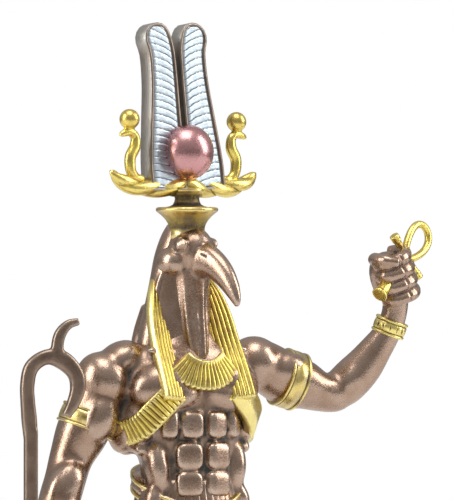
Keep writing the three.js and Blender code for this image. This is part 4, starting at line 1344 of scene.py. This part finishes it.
@dataclass
class Ankh:
    """The looped cross held in the raised fist."""

    cross: Point = (81.6, -12.5, 220.1)
    foot: Point = (66.3, -19.0, 206.7)
    arm_lean: Point = (0.55, 0.1, -0.85)
    arm_half: float = 9.6
    loop_wide: float = 6.0
    loop_long: float = 8.0
    pinch: float = 0.25
    sink: float = 0.3
    tube: float = 1.35
    foot_radius: float = 2.6

    def build(self, maker: Maker) -> None:
        """Makes the piece.

        Args:
            maker: Places the piece.
        """
        cross, foot = Vector(self.cross), Vector(self.foot)
        along = (cross - foot).normalized()
        lean = Vector(self.arm_lean)
        side = (lean - along * lean.dot(along)).normalized()
        clay = Clay()
        rows = []
        for angle in np.linspace(0, 2 * math.pi, 33):
            sideways = self.loop_wide * math.cos(angle) * (1 - self.pinch + self.pinch * math.sin(angle))
            upwards = self.loop_long - self.sink + self.loop_long * math.sin(angle)
            rows.append((*(cross + side * sideways + along * upwards), self.tube, self.tube))
        clay.loft(rows, round_section(16), tuple(side.cross(along)), steps=72)
        for sign in (-1, 1):
            end = cross + side * sign * self.arm_half
            clay.rod(cross, end, (self.tube * 0.9, self.tube * 1.05))
            for ring in (0.78, 0.9, 0.985):
                at = cross.lerp(end, ring)
                clay.rod(at - side * 0.3, at + side * 0.3, (self.tube * 1.28, self.tube * 1.28))
        clay.rod(foot, cross, (self.foot_radius, self.tube))
        clay.rod(foot, foot + along * 0.9, (self.foot_radius * 1.12, self.foot_radius * 1.12))
        skin = Skin(clay.fused("ankh", 0.3)).smooth(2)
        maker.piece("ankh", skin.write(hollow=skin.relief(5, 0.2), ridge=-skin.relief(4, 0.16)), GOLD)


@dataclass
class Kilt:
    """The pleated kilt with its belt and the apron that hangs in front."""

    skirt: tuple[Row, ...] = (
        (0, 0.3, 144, 18.6, 13.2),
        (0, 0.3, 139, 19.0, 13.5),
        (0, -0.2, 127, 21.0, 15.6),
        (0, -1.0, 110, 23.2, 18.2),
        (0, -1.8, 91.5, 25.0, 20.3),
        (0, -1.8, 91, 24.2, 19.5),
    )
    pleats: int = 44
    front: float = 130.5
    back: float = 146.5
    dip: float = 0.62
    belt_high: float = 5.8
    belt_wide: float = 20.0
    belt_deep: float = 14.4
    apron: tuple[Row, ...] = (
        (0, -21.4, 86, 9.4, 1.6),
        (0, -20.6, 96, 8.6, 1.6),
        (0, -18.6, 112, 7.2, 1.6),
        (0, -15.8, 128, 5.2, 1.6),
    )

    def pleated(self, share: float, section: np.ndarray) -> np.ndarray:
        """Folds the skirt's section into overlapping pleats."""
        angle = np.arctan2(section[:, 0], section[:, 1])
        fold = (angle / (2 * math.pi) * self.pleats) % 1
        depth = 0.016 + 0.022 * share
        return section * (1 - depth * (fold**1.6))[:, None]

    def middle(self, forward: float) -> float:
        """Gives the belt's height by how far forward it is, from -1 to 1."""
        return self.front + (self.back - self.front) * (0.5 + 0.5 * forward) ** self.dip

    def belt(self) -> tuple[Clay, Clay]:
        """Makes the belt's cloth and the two gilded lines along its edges."""
        cloth, trim = Clay(), Clay()
        half = self.belt_high / 2
        for clay, edges in ((cloth, ((-half, half, 0.0),)), (trim, ((half - 1.3, half, 0.7), (-half, -half + 1.1, 0.7)))):
            for low, high, proud in edges:
                rings = []
                for height, out in ((low, 0), (low, proud), (high, proud), (high, 0)) if proud else (
                        (low, 0), (0, 0.4), (high, 0)):
                    circle = bmesh.ops.create_circle(clay.bm, segments=96, radius=1)["verts"]
                    for vert in circle:
                        x, y = vert.co.x, vert.co.y
                        vert.co = (
                            x * (self.belt_wide + out), y * (self.belt_deep + out) + 0.1, self.middle(y) + height)
                    rings.append(list({edge for vert in circle for edge in vert.link_edges}))
                for lower, upper in zip(rings, rings[1:]):
                    bmesh.ops.bridge_loops(clay.bm, edges=lower + upper)
                for end in (rings[0], rings[-1]):
                    bmesh.ops.edgeloop_fill(clay.bm, edges=end)
        return cloth, trim

    def build(self, maker: Maker) -> None:
        """Makes the pieces.

        Args:
            maker: Places the pieces.
        """
        skirt = Clay()
        skirt.loft(self.skirt, round_section(self.pleats * 8), steps=24, shape=self.pleated)
        maker.piece("kilt", maker.carved(skirt.mesh("kilt"), 1, 0.1), BRONZE)
        cloth, trim = self.belt()
        maker.piece("belt", maker.carved(cloth.mesh("belt"), 1, 0.2), BRONZE)
        maker.piece("belt_trim", maker.carved(trim.mesh("belt_trim"), 1, 0.3), RUBBED_GOLD)
        apron = Clay()
        apron.loft(self.apron, Headcloth().ribbed(9, 0.3), steps=24)
        maker.piece("apron", maker.carved(apron.mesh("apron"), 1, 0.22), RUBBED_GOLD)


@dataclass
class Leg:
    """One leg with its foot, from under the kilt to the plinth."""

    side: Side
    hip: Point
    knee: Point
    ankle: Point
    turnout: float
    voxel: float = 0.7
    # Share of the way down, half width, half depth, bulge to the back
    thigh: tuple[tuple[float, float, float, float], ...] = (
        (0, 11.4, 11.8, 0), (0.4, 10.6, 11.0, 0), (0.75, 8.4, 8.8, 0))
    shin: tuple[tuple[float, float, float, float], ...] = (
        (0, 6.9, 7.2, 0), (0.14, 6.4, 6.8, 0.2), (0.34, 7.4, 7.8, 2.0), (0.62, 5.7, 5.9, 1.2), (0.88, 4.0, 4.3, 0),
        (1, 4.1, 4.6, 0))
    foot: tuple[Row, ...] = (
        (0, 7.5, 3.2, 2.6, 2.6),
        (0, 5, 3.6, 4.4, 4.2),
        (0, 0, 4.6, 4.8, 5.2),
        (0, -8, 4.4, 5.2, 4.8),
        (0, -15, 3.0, 6.2, 3.4),
        (0, -21.5, 2.0, 6.0, 2.4),
        (0, -25, 1.6, 4.8, 1.5),
    )
    toes: int = 5

    def build(self) -> Clay:
        """Makes the leg's forms, cut flat on the floor."""
        hip, knee, ankle = Vector(self.hip), Vector(self.knee), Vector(self.ankle)
        rows = []
        for start, end, rings in ((hip, knee, self.thigh), (knee, ankle, self.shin)):
            for share, wide, deep, bulge in rings:
                at = start.lerp(end, share)
                rows.append((at.x, at.y + bulge, at.z, wide, deep))
        rows.append((ankle.x, ankle.y + 0.4, FLOOR + 3.5, 4.4, 5.6))
        clay = Clay()
        clay.loft(rows, round_section(28), steps=44)
        clay.ball((knee.x, knee.y - 4.4, knee.z + 1), (4.0, 3.2, 4.6))
        clay.ball((knee.x - 3.2 * self.side.value, knee.y - 3.0, knee.z + 10), (3.4, 3.6, 6.5))
        clay.ball((knee.x + 3.4 * self.side.value, knee.y - 3.2, knee.z + 12), (3.2, 3.6, 7.5))
        for sign in (-1, 1):
            clay.ball((ankle.x + sign * 3.6, ankle.y, ankle.z + 0.4), (1.6, 2.0, 2.2))
        feet = Clay()
        feet.loft(self.foot, round_section(28), steps=24)
        for index in range(self.toes):
            share = index / (self.toes - 1) - 0.5
            reach = -24.4 + abs(share + 0.28) * 3.2
            size = 1.75 if index == 0 else 1.35
            feet.ball((share * 10.2, reach, 1.6), (size, 3.3, size * 1.05))
        matrix = Matrix.Translation((ankle.x, ankle.y, FLOOR)) @ turned_about_z(self.side.value * self.turnout)
        feet.move(matrix @ Matrix.Diagonal((self.side.value, 1, 1, 1)))
        clay.bm.from_mesh(feet.mesh("foot"))
        return clay


@dataclass
class Legs:
    """Both legs in one skin; the left foot steps forward."""

    right: Leg = field(default_factory=lambda: Leg(
        Side.RIGHT, (-9.8, 2.0, 117), (-10.6, 4.6, 74), (-11.0, 11.5, 22), 0.14))
    left: Leg = field(default_factory=lambda: Leg(
        Side.LEFT, (9.8, -1.0, 117), (10.8, -9.0, 74), (11.2, -9.5, 22), 0.1))

    def build(self, maker: Maker) -> None:
        """Makes the piece.

        Args:
            maker: Places the piece.
        """
        clay = self.right.build()
        clay.bm.from_mesh(self.left.build().mesh("leg"))
        skin = Skin(clay.fused("legs", self.right.voxel)).smooth(5)
        skin.points[:, 2] = np.maximum(skin.points[:, 2], FLOOR)
        # The broad hollows at knees, ankles and toes are painted dark as shade; the fine grooves take the dark wash.
        fine, broad_shade = skin.relief(3, 0.16), skin.relief(20, 1.2)
        mesh = skin.write(hollow=np.maximum(fine, broad_shade * 0.8), ridge=-fine)
        maker.piece("legs", mesh, BRONZE)


@dataclass
class Staff:
    """The long was sceptre: a four-sided rod with a forked foot and a hooked animal head."""

    x: float = -64.4
    y: float = -7.2
    half: float = 2.3
    top: float = 162.0
    turn: float = -0.33
    fork_high: float = 16.0
    fork_spread: float = 2.4
    hook: tuple[tuple[float, float, float, float], ...] = (
        (0, 158, 2.25, 0.98),
        (-0.5, 165, 2.6, 1),
        (-1.0, 171, 2.45, 1),
        (-1.2, 177, 2.4, 1),
        (0.2, 183, 2.5, 1),
        (5.0, 186.4, 2.55, 1),
        (10.4, 185.6, 3.2, 1),
        (15.0, 181.2, 2.8, 1),
        (16.0, 176.0, 2.6, 1),
        (14.4, 170.8, 2.2, 0.9),
        (12.0, 166.6, 1.6, 0.8),
    )
    crest: tuple[tuple[float, float, float, float], ...] = (
        (9.8, 185.0, 2.6, 0.94),
        (9.0, 189.6, 2.1, 0.9),
        (10.0, 194.2, 2.0, 0.85),
        (12.8, 197.4, 1.6, 0.7),
        (16.4, 198.4, 1.2, 0.6),
    )

    def build(self, maker: Maker) -> None:
        """Makes the piece.

        Args:
            maker: Places the piece.
        """
        clay = Clay()
        square = round_section(32, 0.35)
        fork = FLOOR + self.fork_high
        clay.loft([(0, 0, fork, self.half, self.half), (0, 0, self.top, self.half, self.half)], square)
        for sign in (-1, 1):
            clay.loft([
                (sign * self.fork_spread, 0, FLOOR, 1.25, self.half),
                (sign * 1.25, 0, fork + 0.6, 1.25, self.half)], square)
        for rings, steps in ((self.hook, 60), (self.crest, 26)):
            rows = [(out, 0, z, wide, self.half * thick) for out, z, wide, thick in rings]
            clay.loft(rows, round_section(32, 0.62), (1, 0, 0.001), steps=steps)
        skin = Skin(clay.fused("staff", 0.42)).smooth(2)
        skin.points[:, 2] = np.maximum(skin.points[:, 2], FLOOR)
        mesh = skin.write(hollow=skin.relief(8, 0.4), ridge=-skin.relief(5, 0.2))
        mesh.transform(Matrix.Translation((self.x, self.y, 0)) @ turned_about_z(self.turn))
        maker.piece("was_staff", mesh, DARK_BRONZE, ("was_sceptre",))


@dataclass
class Plinth:
    """The low base, with a sunk line round its sides."""

    edge: float = 1.6

    def build(self, maker: Maker) -> None:
        """Makes the piece.

        Args:
            maker: Places the piece.
        """
        low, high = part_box("plinth")
        size = [(b - a) / MM for a, b in zip(low, high)]
        clay = Clay()
        matrix = Matrix.Translation((0, 0, size[2] / 2)) @ Matrix.Diagonal((*size, 1))
        bmesh.ops.create_cube(clay.bm, size=1, matrix=matrix)
        bmesh.ops.bevel(
            clay.bm, geom=clay.bm.edges[:], offset=self.edge, segments=4, affect="EDGES", profile=0.5, material=-1)
        walls = [face for face in clay.bm.faces if abs(face.normal.z) < 0.1 and face.calc_area() > size[2] * 40]
        for wall in walls:
            bmesh.ops.inset_region(clay.bm, faces=[wall], thickness=1.5, depth=0, use_even_offset=True)
            bmesh.ops.inset_region(clay.bm, faces=[wall], thickness=0.4, depth=-0.4, use_even_offset=True)
        maker.piece("base", maker.carved(clay.mesh("base"), 1, 0.5), BASE_BRONZE, ("plinth",), local=False)


@dataclass
class Studio:
    """Camera, lights and the pale floor and background."""

    aim: Point = (21.8, -6.8, 222.5)
    distance: float = 1500.0
    azimuth: float = math.radians(-30)
    view_high: float = 172.5
    sensor: float = 36.0

    def camera(self) -> None:
        """Sets the camera at the photograph's angle, level with the head."""
        data = bpy.data.cameras.new("camera")
        data.sensor_width = self.sensor
        data.lens = self.sensor * self.distance / self.view_high
        data.clip_end = 20
        made = bpy.data.objects.new("camera", data)
        back = Vector((math.sin(self.azimuth), -math.cos(self.azimuth), 0))
        made.location = (Vector(self.aim) + back * self.distance) * MM
        made.rotation_euler = (-back).to_track_quat("-Z", "Y").to_euler()
        bpy.context.scene.collection.objects.link(made)
        bpy.context.scene.camera = made

    def light(self, name: str, azimuth: float, elevation: float, size: tuple[float, float], power: float) -> None:
        """Hangs a soft box that faces the figure's middle.

        Args:
            name: Name of the light.
            azimuth: Degrees from the figure's front towards its left.
            elevation: Degrees above level.
            size: Width and height in metres.
            power: Watts.
        """
        data = bpy.data.lights.new(name, "AREA")
        data.shape = "RECTANGLE"
        data.size, data.size_y = size
        data.energy = power
        made = bpy.data.objects.new(name, data)
        a, e = math.radians(azimuth), math.radians(elevation)
        way = Vector((math.sin(a) * math.cos(e), -math.cos(a) * math.cos(e), math.sin(e)))
        made.location = Vector((0.015, 0, 0.2)) + way * 1.3
        made.rotation_euler = (-way).to_track_quat("-Z", "Y").to_euler()
        bpy.context.scene.collection.objects.link(made)

    def world(self) -> None:
        """Lights the room softly, a little brighter from above, with a white backdrop behind the figure."""
        world = bpy.data.worlds.new("studio")
        bpy.context.scene.world = world
        world.use_nodes = True
        board = Board(world.node_tree)
        way = board.node("ShaderNodeTexCoord").outputs["Generated"]
        height = board.node("ShaderNodeSeparateXYZ", {}, {"Vector": way}).outputs["Z"]
        room = board.mix(board.spread(height, -0.3, 0.9), (0.16, 0.155, 0.15), (0.62, 0.62, 0.64))
        soft = board.node("ShaderNodeBackground", {}, {"Color": room, "Strength": 1.0}).outputs[0]
        white = board.node("ShaderNodeBackground", {}, {"Color": (1, 1, 1, 1), "Strength": 1.0}).outputs[0]
        seen = board.node("ShaderNodeLightPath").outputs["Is Camera Ray"]
        mixed = board.node("ShaderNodeMixShader", {}, {0: seen, 1: soft, 2: white}).outputs[0]
        board.node("ShaderNodeOutputWorld", {}, {"Surface": mixed})

    def floor(self) -> None:
        """Lays the pale floor."""
        bm = bmesh.new()
        bmesh.ops.create_grid(bm, x_segments=1, y_segments=1, size=1.2)
        mesh = bpy.data.meshes.new("floor")
        bm.to_mesh(mesh)
        bm.free()
        mesh.transform(Matrix.Translation((0, 0, -0.0002)))
        pale = bpy.data.materials.new("pale_floor")
        pale.use_nodes = True
        shader = pale.node_tree.nodes["Principled BSDF"]
        shader.inputs["Base Color"].default_value = (0.86, 0.86, 0.86, 1)
        shader.inputs["Roughness"].default_value = 0.8
        mesh.materials.append(pale)
        made = bpy.data.objects.new("floor", mesh)
        bpy.context.scene.collection.objects.link(made)

    def build(self) -> None:
        """Sets up the whole studio."""
        self.camera()
        self.world()
        self.floor()
        self.light("left_box", -95, 20, (0.5, 1.1), 10)
        self.light("right_box", 60, 25, (0.45, 1.1), 9)
        self.light("top_box", -30, 75, (0.8, 0.8), 8)
        bpy.context.scene.view_settings.view_transform = "Standard"


def main() -> None:
    """Builds every part of the statue and its studio."""
    logging.basicConfig(level=logging.INFO, format="%(message)s")
    Studio().build()
    maker = Maker()
    left_hand = Hand(
        "left_hand", (75.2, -11.8, 213.2), (8.4, 7.6, 9.2), (0.1, -0.35, 0.55),
        ((2.0, 3.0, 5.0, 2.6, 2.6), (-4.4, 1.6, 8.2, 2.6, 2.4), (-7.0, -3.4, 8.0, 2.4, 2.2), (-5.0, -7.6, 6.2, 2.0, 1.8)))
    right_hand = Hand(
        "right_hand", (-63.8, -7.4, 111.4), (7.0, 7.0, 8.0), (0.2, 0, 0.3),
        ((2.0, 3.0, 4.4, 2.3, 2.3), (-3.8, 1.4, 7.2, 2.3, 2.1), (-6.2, -3.0, 7.0, 2.1, 1.9), (-4.4, -6.8, 5.4, 1.8, 1.6)))
    parts = (
        Body(), left_hand, right_hand, Head(), Headcloth(), Crown(), Ornaments(), Ankh(), Kilt(), Legs(), Staff(),
        Plinth())
    for part in parts:
        LOG.info("building %s", type(part).__name__)
        part.build(maker)


if __name__ == "__main__":
    main()
